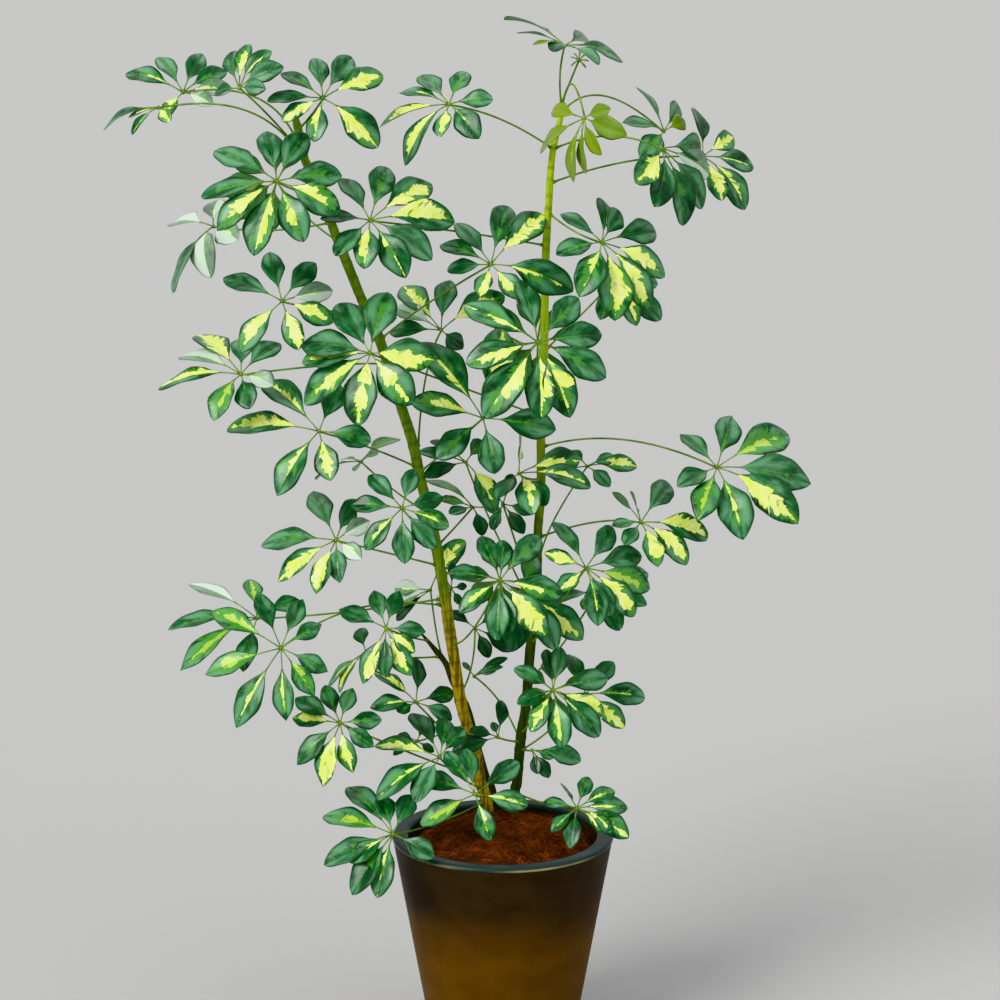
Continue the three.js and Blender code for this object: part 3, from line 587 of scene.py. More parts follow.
def stem_tube(sketch, name, seed):
    centres = smooth_line([ring[0] for ring in RINGS[name]], STEM_STEPS)
    marks = [ring[1] for ring in RINGS[name]]
    lengths = [0.0]
    for a, b in zip(centres, centres[1:]):
        lengths.append(lengths[-1] + (b - a).length)
    scars = scar_places(lengths, SCAR_SPACING[name], random.Random(seed))
    radii = []
    for i in range(len(centres)):
        j, part = divmod(i, STEM_STEPS)
        low, high = marks[j], marks[min(len(marks) - 1, j + 1)]
        radii.append(low + (high - low) * part / STEM_STEPS)

    def shape(i, angle):
        round_stem = (math.cos(angle) * UNEVEN_ROUND, math.sin(angle) * UNEVEN_ROUND)
        swell = 1 + UNEVEN * noise.noise(Vector((*round_stem, lengths[i] / UNEVEN_LENGTH + seed)))
        for at, turn, size in scars:
            off = (lengths[i] - at) / SCAR_WIDTH
            if abs(off) < 3:
                wide = 0.55 + 0.45 * math.cos(angle - turn)
                cut = SCAR_CUT * math.exp(-(off + SCAR_CUT_ABOVE) ** 2)
                swell += size * wide * (SCAR_BULGE * math.exp(-off * off) - cut)
        return swell

    rings = tube(sketch, centres, radii, STEM_ROUND, 0, shape)
    for length, ring in zip(lengths, rings):
        offs = [((length - at + SCAR_COLOR_RISE) / SCAR_COLOR_WIDTH, size) for at, _, size in scars]
        near = max((size * math.exp(-off ** 2) for off, size in offs), default=0)
        for point in ring:
            sketch.values.setdefault("bark_scar", {})[point] = near
    return len(scars)


# %% [markdown]
# ## Leaves
# A compound leaf is a petiole that clasps the stem, a small hub, and a whorl of leaflets on short stalks.
# The table gives, for each leaf, the stem and row that it leaves, the hub as column, row and depth, and the
# leaflets' ends. A third number on an end turns that leaflet about its rib. The `tints` word says how each
# leaflet is coloured, in the same order: g green, s a narrow yellow streak, h yellow on one side of the
# midrib, y a wide yellow middle, l lime, w a painted whitish glare, o young olive, k deep green in painted
# shade, p pale. `via` is a place that the petiole bends through, `slim`, `stalk` and `point` are a leaf's
# own proportions.

# %% Leaf table
LEAVES = {}


def leaf(number, stem, row, **shape):
    LEAVES[f"leaf_{number}"] = dict(shape, on=(stem, row))


leaf("01", "left", 141, hub=(183, 92, -5), tints="sgggwwy", via=(255, 97, -20), tips=[
    (126, 73), (159, 57), (203, 54), (227, 71), (232, 89), (213, 105), (163, 119)])
leaf("01b", "left", 165, hub=(158, 107, -40), tints="gssy", via=(250, 112, -55), faces=(-20, 50), tips=[
    (103, 131), (128, 118), (132, 135), (170, 122)])
leaf("02", "left", 150, hub=(239, 88, -75), tints="gysggg", via=(268, 115, -60), tips=[
    (233, 51), (249, 44), (272, 51), (284, 67), (266, 89), (215, 92)])
leaf("03", "left", 128, hub=(323, 98, -70), tints="gggyhhyg", tips=[
    (281, 73), (316, 58), (352, 57), (383, 75), (378, 148), (314, 142), (282, 122), (267, 101)])
leaf("04", "right", 148, hub=(449, 104, -20), tints="gggsyyys", via=(500, 119, 10), tips=[
    (421, 75), (467, 72), (493, 100), (479, 139), (441, 137), (405, 166), (379, 128), (401, 92)])
leaf("05", "left", 195, hub=(277, 181, -100), tints="gggghshyg", tips=[
    (214, 151), (267, 131), (306, 133), (342, 176), (340, 215), (304, 242), (254, 256), (217, 231),
    (201, 197)])
leaf("06", "right", 245, hub=(370, 220, -80), tints="ggyygsygk", via=(461, 232, 5), tips=[
    (341, 178), (387, 167), (432, 184), (455, 222), (432, 260), (406, 278), (364, 269), (335, 256),
    (320, 219)])
leaf("07", "left", 222, hub=(213, 226, 25), tints="wgwww", tips=[
    (173, 224), (173, 293), (211, 278), (238, 240), (218, 200)])
leaf("08", "left", 312, hub=(282, 301, -70), tints="gggwyyy", tips=[
    (224, 277), (269, 252), (316, 263), (333, 291), (333, 323), (299, 350), (240, 352)])
leaf("09", "left", 362, hub=(241, 374, -15), tints="ywylgwgg", via=(320, 366, -10), tips=[
    (198, 335), (180, 357), (158, 389), (214, 421), (250, 409), (274, 385), (280, 343), (244, 338)])
leaf("10", "right", 415, hub=(370, 353, -110), tints="ggyyyyyg", via=(450, 383, 10), slim=1.1,
     stalk=0.14, tips=[
    (339, 303), (388, 292), (434, 360), (412, 405), (358, 426), (304, 404), (302, 362), (301, 344)])
leaf("11", "left", 464, hub=(319, 431, -45), tints="sysygg", via=(368, 447, -25), tips=[
    (265, 382), (227, 429), (277, 496), (331, 481), (371, 442), (341, 385)])
leaf("11b", "left", 510, hub=(361, 461, 45), tints="ppppp", tips=[
    (400, 439), (379, 453), (355, 471), (341, 460), (316, 480)])
leaf("12", "left", 448, hub=(441, 330, 25), tints="ywgkyg", via=(426, 376, 20), tips=[
    (403, 286), (396, 308), (389, 332), (463, 349), (505, 296), (450, 280)])
leaf("13", "left", 338, hub=(491, 264, -36), tints="gggyysyg", via=(430, 302, -25), tips=[
    (456, 223), (440, 245), (447, 271), (480, 297), (521, 299), (573, 292, 35), (544, 215), (508, 206)])
leaf("14", "right", 214, hub=(602, 242, -35), tints="ggggyyyhg", tips=[
    (560, 214), (602, 199), (619, 210), (656, 232), (665, 277), (648, 309), (615, 321), (579, 297),
    (556, 255)])
leaf("14b", "right", 348, hub=(612, 283, 50), tints="ygggg", via=(578, 318, 50), tips=[
    (637, 326), (661, 320), (658, 284), (600, 320), (577, 281)])
leaf("15", "right", 432, hub=(538, 342, -106), tints="sgggghhhy", tips=[
    (464, 305), (520, 279), (579, 298), (602, 335), (606, 378), (570, 418), (541, 419), (484, 418),
    (466, 364)])
leaf("17", "right", 110, hub=(584, 118, -40), tints="ooooooo", via=(572, 84, -5), slim=0.8, tips=[
    (553, 109), (540, 152), (574, 183), (586, 174), (602, 155), (627, 135), (611, 109)])
leaf("18", "right", 104, hub=(565, 45, 10), tints="sgogggg", via=(560, 75, 14), tips=[
    (504, 20), (516, 33), (533, 45), (553, 52), (599, 65), (623, 62), (590, 42)])
leaf("20", "right", 112, hub=(664, 131, 70), tints="gggog", via=(605, 96, 50), tips=[
    (636, 87), (622, 123), (678, 104), (685, 121), (640, 158)])
leaf("21", "right", 147, hub=(662, 148, -35), tints="ygggwg", via=(610, 136, 5), tips=[
    (635, 183), (654, 207), (683, 226), (702, 209), (709, 175), (701, 149)])
leaf("21b", "right", 182, hub=(703, 156, 55), tints="yssyk", via=(630, 161, 38), tips=[
    (734, 137), (754, 168), (745, 210), (722, 201), (694, 108)])
leaf("22", "right", 446, hub=(717, 467, 15), tints="gglgyslg", via=(627, 440, 40), point=0.85, tips=[
    (680, 434), (732, 416), (789, 435), (811, 484), (798, 524), (743, 540), (698, 521), (677, 487)])
leaf("23", "right", 536, hub=(641, 522, 5), tints="gggyyygg", via=(596, 522, 30), tips=[
    (612, 493, 55), (630, 492, 55), (669, 483), (708, 538), (687, 565), (658, 567), (624, 545), (612, 526)])
leaf("24", "right", 640, hub=(586, 568, -42), tints="yggglygsy", tips=[
    (544, 553), (553, 522), (613, 527), (642, 556), (650, 589), (634, 617), (611, 616), (598, 626),
    (558, 591)])
leaf("24b", "right", 674, hub=(597, 592, 34), tints="gggyg", via=(562, 645, 44), tips=[
    (648, 573), (647, 605), (619, 631), (583, 610), (552, 602)])
leaf("25", "right", 562, hub=(587, 466, 120), tints="ygggg", via=(554, 520, 85), tips=[
    (637, 467), (610, 487), (617, 458), (570, 450), (550, 478)])
leaf("26", "right", 478, hub=(519, 473, -15), tints="ysgygy", tips=[
    (580, 461, 25), (591, 487), (546, 506), (533, 515), (497, 500), (519, 437, 70)])
leaf("27", "left", 470, hub=(483, 418, -55), tints="sygggy", tips=[
    (421, 342), (411, 401), (437, 459), (495, 474), (556, 430), (503, 329)])
leaf("28", "left", 540, hub=(402, 508, -85), tints="gggsggsg", tips=[
    (369, 475), (414, 469), (443, 498), (449, 527), (436, 549), (405, 564), (365, 550), (351, 505)])
leaf("29", "left", 563, hub=(336, 540, -40), tints="ggwwgyyg", via=(388, 553, -10), point=0.9, tips=[
    (313, 491), (356, 499, 35), (370, 521, 30), (362, 559), (340, 583), (316, 594), (278, 582), (261, 546)])
leaf("30", "left", 643, hub=(500, 580, -75), tints="ggghyggsg", via=(474, 628, -10), tips=[
    (481, 536), (504, 540), (541, 537), (562, 596), (546, 636), (510, 634), (497, 641), (459, 613),
    (449, 572)])
leaf("31", "left", 604, hub=(281, 648, -70), tints="lgggglssl", via=(355, 609, -20), slim=0.88,
     stalk=0.3, point=1.0, tips=[
    (212, 611), (257, 591), (303, 599), (322, 624), (328, 672), (315, 697), (286, 721), (236, 728),
    (205, 675)])
leaf("32", "left", 598, hub=(257, 618, 0), tints="wlgglg", via=(345, 612, 10), slim=0.88,
     stalk=0.3, point=0.9, tips=[
    (188, 584), (250, 579), (300, 600), (243, 672), (180, 671), (168, 630)])
leaf("33", "side", 640, hub=(386, 628, -60), tints="gggyygyg", point=0.9, tips=[
    (374, 590), (400, 591), (426, 632), (415, 653), (411, 676), (386, 678), (363, 684), (339, 609)])
leaf("33b", "side", 655, hub=(366, 652, 10), tints="gsyg", tips=[
    (360, 628), (328, 686), (339, 693), (388, 672)])
leaf("34", "left", 775, hub=(340, 723, -65), tints="gggggyygy", via=(408, 752, 0), point=0.85, tips=[
    (295, 698), (325, 685), (353, 688), (382, 720), (374, 747), (353, 773), (323, 787), (297, 765),
    (292, 718)])
leaf("35", "right", 730, hub=(553, 690, -45), tints="gkggyssyg", tips=[
    (514, 668), (547, 649), (561, 647), (608, 678), (604, 715), (599, 737), (562, 749), (531, 732),
    (517, 704)])
leaf("35b", "right", 747, hub=(586, 694, 15), tints="ggsy", via=(552, 728, 40), tips=[
    (568, 654), (614, 662), (645, 698), (624, 728)])
leaf("36", "left", 785, hub=(440, 757, -50), tints="ykgggs", tips=[
    (374, 746), (412, 713), (447, 719), (464, 728), (415, 803), (376, 800)])
leaf("37", "left", 793, hub=(475, 794, -75), tints="gggsslg", tips=[
    (446, 751), (466, 748), (520, 763), (528, 806), (490, 841), (420, 825), (419, 777)])
leaf("38", "left", 800, hub=(393, 834, -100), tints="ggggsgsgl", tips=[
    (348, 787), (381, 795), (412, 795), (434, 858), (377, 898), (352, 895), (350, 863), (324, 865),
    (323, 816)])
leaf("39", "right", 792, hub=(577, 808, -50), tints="gggssyygs", tips=[
    (543, 802), (560, 783, 45), (589, 777), (615, 791), (628, 808), (629, 838), (613, 832), (570, 849),
    (551, 832)])
leaf("40", "right", 606, hub=(466, 462, 30), tints="kgkgy", via=(490, 520, 20), tips=[
    (424, 477), (418, 452), (430, 441), (482, 440), (495, 512)])
leaf("40b", "left", 545, hub=(473, 507, 60), tints="ppgkg", tips=[
    (424, 480), (438, 500), (449, 514), (482, 536), (502, 512)])
leaf("41", "left", 764, hub=(416, 702, 10), tints="ysgkgg", via=(442, 730, 25), tips=[
    (375, 673), (370, 708), (397, 712), (415, 657), (454, 693), (452, 720)])
leaf("42", "left", 694, hub=(475, 628, 100), tints="kkkk", via=(472, 664, 80), tips=[
    (489, 658), (513, 651), (448, 611), (500, 612)])
leaf("45", "side", 657, hub=(430, 590, 95), tints="wwky", via=(436, 630, 85), tips=[
    (395, 588), (399, 604), (396, 620), (465, 540)])
leaf("47", "right", 622, hub=(520, 592, -15), tints="gygk", tips=[
    (535, 556), (583, 640), (556, 650), (512, 652)])

# %% Back leaves and shoots
BACK_LEAVES = {
    "leaf_51": dict(on=("left", 240), behind="leaf_05", depth=85),
    "leaf_52": dict(on=("right", 300), behind="leaf_15", depth=140),
    "leaf_53": dict(on=("left", 572), behind="leaf_30", depth=165),
    "leaf_54": dict(on=("right", 700), behind="leaf_35", depth=150),
}
BACK_FACES = (165, 35)
DRAWN_IN = 0.75
BACK_TINTS = "gsygygsgyg"
SHOOTS = {
    "right": [
        dict(row=748, hub=(532, 750, 30), tints="gkgk",
             tips=[(581, 761), (549, 778), (555, 757), (538, 774)]),
        dict(row=741, hub=(498, 737, 15), tints="kkkk", faces=(20, 30),
             tips=[(469, 730), (452, 752), (492, 722), (501, 700)]),
        dict(row=104, hub=(579, 60, 30), tints="ooooooo", via=(570, 82, 26), slim=0.5,
             tips=[(570, 57), (574, 53), (580, 51), (586, 54), (589, 61), (586, 68), (571, 66)]),
        dict(row=738, hub=(474, 676, 110), tints="gggg", via=(499, 701, 95), slim=0.6,
             tips=[(463, 662), (508, 658, 50), (503, 667), (496, 671)]),
        dict(row=600, hub=(503, 504, 25), tints="kgkkg", via=(521, 560, 50),
             tips=[(524, 534), (534, 513), (513, 474), (486, 480), (492, 530)]),
    ],
    "left": [
        dict(row=626, hub=(451, 588, 62), tints="kkkwk",
             tips=[(467, 586), (453, 562), (436, 566), (436, 604), (461, 605)]),
    ],
    "side": [
        dict(row=722, hub=(417, 741, 88), tints="kkkk",
             tips=[(398, 734), (393, 755), (426, 724), (434, 752)]),
    ],
}

print(len(LEAVES), "leaves in front,", len(BACK_LEAVES), "behind, shoots:", sum(map(len, SHOOTS.values())))

# %% [markdown]
# ### How a leaf lies
# Only the ends of the leaflets are known, as seen from the front. The leaf's plane is the one in which its
# leaflets come out most alike in length, because in a real whorl they are. The search tries a coarse grid
# of ways to face, and prefers an easy lift.

# %% Leaf facing
def facing(turn, lift):
    a, b = math.radians(turn), math.radians(lift)
    return Vector((math.sin(a) * math.cos(b), -math.cos(a) * math.cos(b), math.sin(b)))


TURNS = range(-50, 51, 10)
LIFTS = range(0, 71, 5)
EASY_LIFT = 30
TURN_EASE, LIFT_EASE, EASE = 60, 45, 0.25


def likely_facing(hub, tips):
    best = None
    for turn in TURNS:
        for lift in LIFTS:
            normal = facing(turn, lift)
            lengths = [(on_plane(tip, hub, normal) - hub).length for tip in tips]
            mean = sum(lengths) / len(lengths)
            spread = sum(math.log(length / mean) ** 2 for length in lengths)
            strain = spread + EASE * ((turn / TURN_EASE) ** 2 + ((lift - EASY_LIFT) / LIFT_EASE) ** 2)
            if best is None or strain < best[0]:
                best = (strain, normal)
    return best[1]


# %% Leaf proportions
STALK_SHARE = 0.22
BLADE_WIDTH = 0.52
BLADE_POINT = 0.68
DOME_RISE = 0.26
DOME_FALL = 0.36
ROLL = math.radians(15)
ROLL_SPREAD = 5
CROWDED_ANGLE = math.radians(32)
CROWDED_LAY = 0.035
BLADE_ROWS = 15
EVEN_ROWS = 0.45
WEDGE = 1.35
BLADE_LANES = (-1, -0.8, -0.55, -0.28, -0.07, 0.07, 0.28, 0.55, 0.8, 1)
FOLDS, CURLS, WAVES = (0.2, 0.38), (0.08, 0.2), (0.02, 0.06)
LEAST_HALF = 0.9
UPPER_BULGE, LOWER_BULGE = 0.25, 0.3
GROOVE_DEPTH, GROOVE_WIDTH = 0.16, 0.1
RIB_DEPTH, RIB_WIDTH = 0.55, 0.12
MARGIN_WAVES, MARGIN_TEETH = 9, 17
STALK_RADII = (0.95, 0.75, 0.75, 0.9)


def outline(s, widest, point):
    """Half width of a blade at s of its length, as a share of its greatest: a wedge, then an arch."""
    if s < widest:
        return math.sin(math.pi / 2 * s / widest) ** WEDGE
    return max(0, 1 - ((s - widest) / (1 - widest)) ** 2) ** point


# For each letter, ranges of: the wider and the narrower side's yellow, the yellow's end, and the middle green
# beyond it; then how much pallor and painted glare, painted shade, young olive and lime it has.
TINTS = {
    "g": ((0, 0), (0, 0), (0.6, 0.9), (0, 0.35), (0, 0, 0, 0)),
    "s": ((0.14, 0.36), (0, 0.12), (0.65, 0.95), (0.1, 0.35), (0, 0, 0, 0)),
    "y": ((0.5, 0.8), (0.1, 0.5), (0.85, 1.15), (0.05, 0.3), (0, 0, 0, 0)),
    "h": ((0.4, 0.62), (0, 0.1), (0.75, 1.0), (0.15, 0.4), (0, 0, 0, 0)),
    "l": ((0.3, 0.55), (0.1, 0.3), (0.8, 1.0), (0.4, 0.7), (0, 0, 0, 0.85)),
    "w": ((0, 0.3), (0, 0.1), (0.6, 0.9), (0.3, 0.5), (0.8, 0, 0, 0)),
    "o": ((0, 0.2), (0, 0.1), (0.6, 0.9), (0.2, 0.4), (0, 0, 0.85, 0)),
    "k": ((0, 0), (0, 0), (0.6, 0.9), (0, 0.1), (0, 0.55, 0, 0)),
    "p": ((0, 0), (0, 0), (0.6, 0.9), (0.5, 0.8), (0.1, 0, 0.12, 0)),
}


# %% [markdown]
# ### One leaflet
# The blade is a closed lens: an upper and a lower sheet that share their margin. It folds a little along
# the midrib, its margin curls down and waves, and the midrib is a groove above and a rib below. The rib's
# line is a smooth bend from the hub over a low dome to the tip.

# %% Leaflet
def bezier(start, bend, end, t):
    return start * (1 - t) ** 2 + bend * (2 * t * (1 - t)) + end * t * t


def leaflet(sketch, rib, normal, roll, half_width, stalk, letter, point, draw):
    start, bend, end = rib

    def frame_at(t):
        along = ((bend - start) * (2 * (1 - t)) + (end - bend) * (2 * t)).normalized()
        right = along.cross(normal).normalized()
        right = Matrix.Rotation(roll * min(1, t * 2), 3, along) @ right
        return bezier(start, bend, end, t), right, right.cross(along)

    length = (end - start).length * (1 - stalk)
    seed = draw.uniform(0, 30)
    wider, narrower, end_at, middle_green = (draw.uniform(*pair) for pair in TINTS[letter][:4])
    sides = [wider, narrower]
    draw.shuffle(sides)
    marks = dict(blade_streaks=(*sides, end_at, middle_green),
                 blade_tones=tuple(tone * draw.uniform(0.8, 1.15) for tone in TINTS[letter][4]))
    fold, curl, wave = (draw.uniform(*pair) for pair in (FOLDS, CURLS, WAVES))
    phase = draw.uniform(0, 6)
    point *= draw.uniform(0.9, 1.15)
    widest = draw.uniform(0.57, 0.63) - 0.08 * point
    rows = []
    for i in range(BLADE_ROWS):
        s = EVEN_ROWS * i / BLADE_ROWS + (1 - EVEN_ROWS) * math.sin(math.pi / 2 * i / BLADE_ROWS)
        half = max(half_width * outline(max(s, 0.004), widest, point), LEAST_HALF)
        at, right, up = frame_at(stalk + (1 - stalk) * s)
        upper, lower = [], []
        for a in BLADE_LANES:
            side = 1 if a > 0 else -1
            lift = half * (fold * abs(a) - curl * a * a * (0.6 + 0.6 * s))
            lift += half_width * wave * a * a * math.sin(phase * side + MARGIN_WAVES * s)
            edge = a * half * (1 + 0.035 * math.sin(phase + MARGIN_TEETH * s + side))
            groove = -GROOVE_DEPTH * math.exp(-(a / GROOVE_WIDTH) ** 2)
            spot = at + right * edge + up * (lift + groove + UPPER_BULGE * (1 - a * a))
            values = dict(blade_mm=(s * length, edge, seed), **marks)
            upper.append(sketch.put(spot, blade_place=(s, a, 0), **values))
            if abs(a) == 1:
                lower.append(upper[-1])
            else:
                rib_below = RIB_DEPTH * (1 - s) * math.exp(-(a / RIB_WIDTH) ** 2)
                spot = at + right * edge + up * (lift - LOWER_BULGE * (1 - a * a) - rib_below)
                lower.append(sketch.put(spot, blade_place=(s, a, 1), **values))
        rows.append((upper, lower))
    tip = sketch.put(end, blade_place=(1, 0, 0), blade_mm=(length, 0, seed), **marks)
    lanes = len(BLADE_LANES) - 1
    for (upper, lower), (next_upper, next_lower) in zip(rows, rows[1:]):
        for k in range(lanes):
            sketch.face((upper[k], upper[k + 1], next_upper[k + 1], next_upper[k]))
            sketch.face((lower[k + 1], lower[k], next_lower[k], next_lower[k + 1]))
    upper, lower = rows[-1]
    for k in range(lanes):
        sketch.face((upper[k], upper[k + 1], tip))
        sketch.face((lower[k + 1], lower[k], tip))
    upper, lower = rows[0]
    sketch.face(tuple(reversed(upper)) + tuple(lower[1:-1]))
    line = [bezier(start, bend, end, (stalk + 0.02) * t) for t in (0, 0.33, 0.66, 1)]
    tube(sketch, line, STALK_RADII, 6, 1)


# %% [markdown]
# ### Petiole and whole leaf
# The petiole leaves its stem square to it, with a wide clasping foot, and bends to the hub. Leaflets that
# stand close together are laid a little over and under each other.

# %% Petiole
PETIOLE_STEPS = 18
PETIOLE_RADIUS = 1.15
FOOT_FLARE, FLARE_LENGTH = 1.5, 5
HUB_DEPTH = 1.4
KNOB = {3.2: 0.9, 2.4: 1.8, 1.2: 2.5, 0: 2.5, -0.9: 1.5, -HUB_DEPTH: 0.4}


def petiole(sketch, stem, hub, normal, via, sunk):
    centre, down, radius = stem
    foot = hub - normal * HUB_DEPTH
    toward = (via or foot) - centre
    out = (toward - down * toward.dot(down)).normalized()
    start = centre + out * (radius - sunk)
    if via:
        bend = via * 2 - start * 0.5 - foot * 0.5
    else:
        bend = start.lerp(foot, 0.55) - normal * (0.12 * (foot - start).length)
    line = [bezier(start, bend, foot, (k / PETIOLE_STEPS) ** 1.3) for k in range(PETIOLE_STEPS + 1)]
    span = (foot - start).length
    radii = [PETIOLE_RADIUS + FOOT_FLARE * math.exp(-k / PETIOLE_STEPS * span / FLARE_LENGTH)
             for k in range(PETIOLE_STEPS + 1)]
    tube(sketch, line, radii, 8, 1)
    tube(sketch, [hub - normal * depth for depth in KNOB], list(KNOB.values()), 10, 1)


# %% Whole leaf
def placed(spot):
    return at_depth(spot, spot[2])


def whole_leaf(sketch, stem, shape, seed, sunk=0.4):
    """Draws a leaf whose petiole's foot is sunk so many millimetres into its stem."""
    draw = random.Random(seed)
    hub = placed(shape["hub"])
    tips = shape["tips"]
    normal = facing(*shape["faces"]) if "faces" in shape else likely_facing(hub, tips)
    flats = [on_plane(tip, hub, normal) - hub for tip in tips]
    mean = sum(flat.length for flat in flats) / len(flats)
    across = Vector((0, 0, 1)).cross(normal).normalized()
    upward = normal.cross(across)
    angles = [math.atan2(flat.dot(upward), flat.dot(across)) for flat in flats]
    order = sorted(range(len(tips)), key=lambda i: angles[i])
    for rank, i in enumerate(order):
        length = flats[i].length
        dome = length * (DOME_RISE - DOME_FALL * length / mean)
        end = on_plane(tips[i], hub + normal * dome, normal)
        start = hub + flats[i].normalized() * 1.6
        gaps = [abs(math.remainder(angles[i] - angles[order[(rank + d) % len(order)]], 2 * math.pi))
                for d in (-1, 1)]
        crowded = min(gaps) < CROWDED_ANGLE
        lay = length * (CROWDED_LAY if rank % 2 else -CROWDED_LAY) if crowded else 0
        bend = hub.lerp(end, 0.5) + normal * ((DOME_RISE * length - dome) / 2 + lay)
        turn = math.radians(tips[i][2]) if len(tips[i]) > 2 else 0
        breadth = (length + mean) / 2 if length < mean else length
        stalk = shape.get("stalk", STALK_SHARE)
        half_width = breadth * (1 - stalk) * BLADE_WIDTH * shape.get("slim", 1) / 2
        roll = ROLL + turn + math.radians(draw.uniform(-ROLL_SPREAD, ROLL_SPREAD))
        leaflet(sketch, (start, bend, end), normal, roll, half_width, stalk,
                shape["tints"][i % len(shape["tints"])], shape.get("point", BLADE_POINT), draw)
    via = placed(shape["via"]) if "via" in shape else None
    petiole(sketch, stem, hub, normal, via, sunk)
    return len(tips)


LEAF_KINDS = {"blade_place": "FLOAT_VECTOR", "blade_mm": "FLOAT_VECTOR", "blade_streaks": "FLOAT_COLOR",
              "blade_tones": "FLOAT_COLOR"}


def show(piece, slot, *nodes):
    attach(piece, "root")
    if nodes:
        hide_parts(*nodes)


# %% Make the leaves
FIRST_SEED, FIRST_SHOOT_SEED = 100, 40
for back in BACK_LEAVES.values():
    front = LEAVES[back["behind"]]
    middle = front["hub"][:2]
    back.update(faces=BACK_FACES, tints=BACK_TINTS, hub=(*middle, back["depth"]))
    back["tips"] = [[a + (b - a) * DRAWN_IN for a, b in zip(middle, tip)] for tip in front["tips"]]

made = 0
for number, (name, shape) in enumerate({**LEAVES, **BACK_LEAVES}.items()):
    sketch = Sketch()
    made += whole_leaf(sketch, stem_at(*shape["on"]), shape, FIRST_SEED + number)
    piece = sketch.piece(name.replace("leaf", "whorl"), [blade_material, stalk_material], LEAF_KINDS)
    show(piece, "leaf", name)
print("leaflets:", made)

# %% Make the stems
for name, material in BARKS.items():
    sketch = Sketch()
    scars = stem_tube(sketch, name, len(name))
    piece = sketch.piece(f"{name}_stem", [material], {"bark_scar": "FLOAT"})
    show(piece, BARK_SLOTS[name], f"stem_{name}")
    print(name, "stem:", scars, "ring scars")

# %% Make the shoots
number = 0
for stem, shoots in SHOOTS.items():
    for shoot in shoots:
        number += 1
        sketch = Sketch()
        whole_leaf(sketch, stem_at(stem, shoot["row"]), shoot, FIRST_SHOOT_SEED + number, 1.5)
        piece = sketch.piece(f"shoot_{number}", [blade_material, stalk_material], LEAF_KINDS)
        show(piece, "leaf")
print("shoots:", number)

# %% [markdown]
# ## Pot
# The pot is thrown clay with a dark charcoal glaze. Lower down it is painted warming to olive bronze, a
# painted reflection of a warm floor below; the broad lip is tinted teal-grey as a painted sheen, and a thin
# bright gold line runs in patches along the lip's outer edge. A lathe is right for it. The profile is that
# of the CAD solid, with its corners rounded off by many more points.

# %% Pot sizes
POT_HEIGHT = 270
RIM_RADIUS = 136.5
FOOT_RADIUS = 88.5
LIP_WIDTH = 21
WALL_AT_FOOT = 8.5
POT_FLOOR = 9
COIR_EDGE = 251
COIR_RISE = 33
COIR_UNDERSIDE = 236
SEAT_GAP = 0.3
LIP = [(1.2, 6), (0, 4.8), (0, 2.6), (1.4, 0.7), (4, 0), (17.5, 0.6), (20.2, 2.2)]
LIP_INNER_DROP = 5
INNER_FOOT_RADIUS = FOOT_RADIUS - WALL_AT_FOOT
INNER_SLOPE = (RIM_RADIUS - LIP_WIDTH - INNER_FOOT_RADIUS) / (POT_HEIGHT - LIP_INNER_DROP - POT_FLOOR)


def inner_radius(z):
    return INNER_FOOT_RADIUS + INNER_SLOPE * (z - POT_FLOOR)


# %% Glaze
# Heights above the floor and distances from the pot's axis, in metres, between which a colour comes or goes.
BRONZE_REFLECTION_GOES = (0.14, 0.218)
LIP_COMES = (0.2635, 0.2652)
LINE_COMES, LINE_GOES, LINE_OUTSIDE = (0.264, 0.2652), (0.2665, 0.268), (0.13, 0.132)

glaze, shader = new_material("pot_glaze", 0.5, Specular_IOR_Level=0.2, Coat_Weight=0.04, Coat_Roughness=0.3)
place = object_place(shader)
height = parts(place)[2]
drift = noise_value(stretch(place, 9, 9, 14), 1.0, 4)
# Painted reflection: the glaze warms to olive bronze lower down, as a warm floor below would be mirrored in
# it.
bronze_reflection = fall((drift - 0.5) * 0.1 + height, *BRONZE_REFLECTION_GOES)
brush = patch(stretch(place, 22, 22, 30), 0.5, 0.25)
specks = patch(place, 0.22, 0.05, 420)
charcoal = blend(brush, rgb(40, 32, 22), rgb(57, 43, 27))
warm_reflection = blend(brush, rgb(79, 49, 0), rgb(89, 59, 2))
color = blend(specks * 0.3, blend(bronze_reflection, charcoal, warm_reflection), rgb(30, 24, 14))
lip = ramp(height, *LIP_COMES)
# Painted sheen: the lip's flat top is tinted teal-grey for the bluish sheen it catches.
color = blend(lip * 0.9, color, rgb(50, 67, 66))
from_axis = node("ShaderNodeVectorMath", {0: stretch(place, 1, 1, 0)}, operation="LENGTH")[1]
line_patches = patch(stretch(place, 9, 9, 4), 0.38, 0.2)
# A thin bright gold line, in patches, along the lip's outer edge.
line = ramp(height, *LINE_COMES) * fall(height, *LINE_GOES) * line_patches * ramp(from_axis, *LINE_OUTSIDE)
paint(shader, blend(line * 0.8, color, rgb(196, 184, 124)))
wire(shader.inputs["Roughness"], lip * -0.16 + 0.5)
bump(shader, use(grain, Place=place, Coarse=60, Fine=700, Fine_Share=0.25), 0.25, 0.0012)
print("material:", glaze.name)


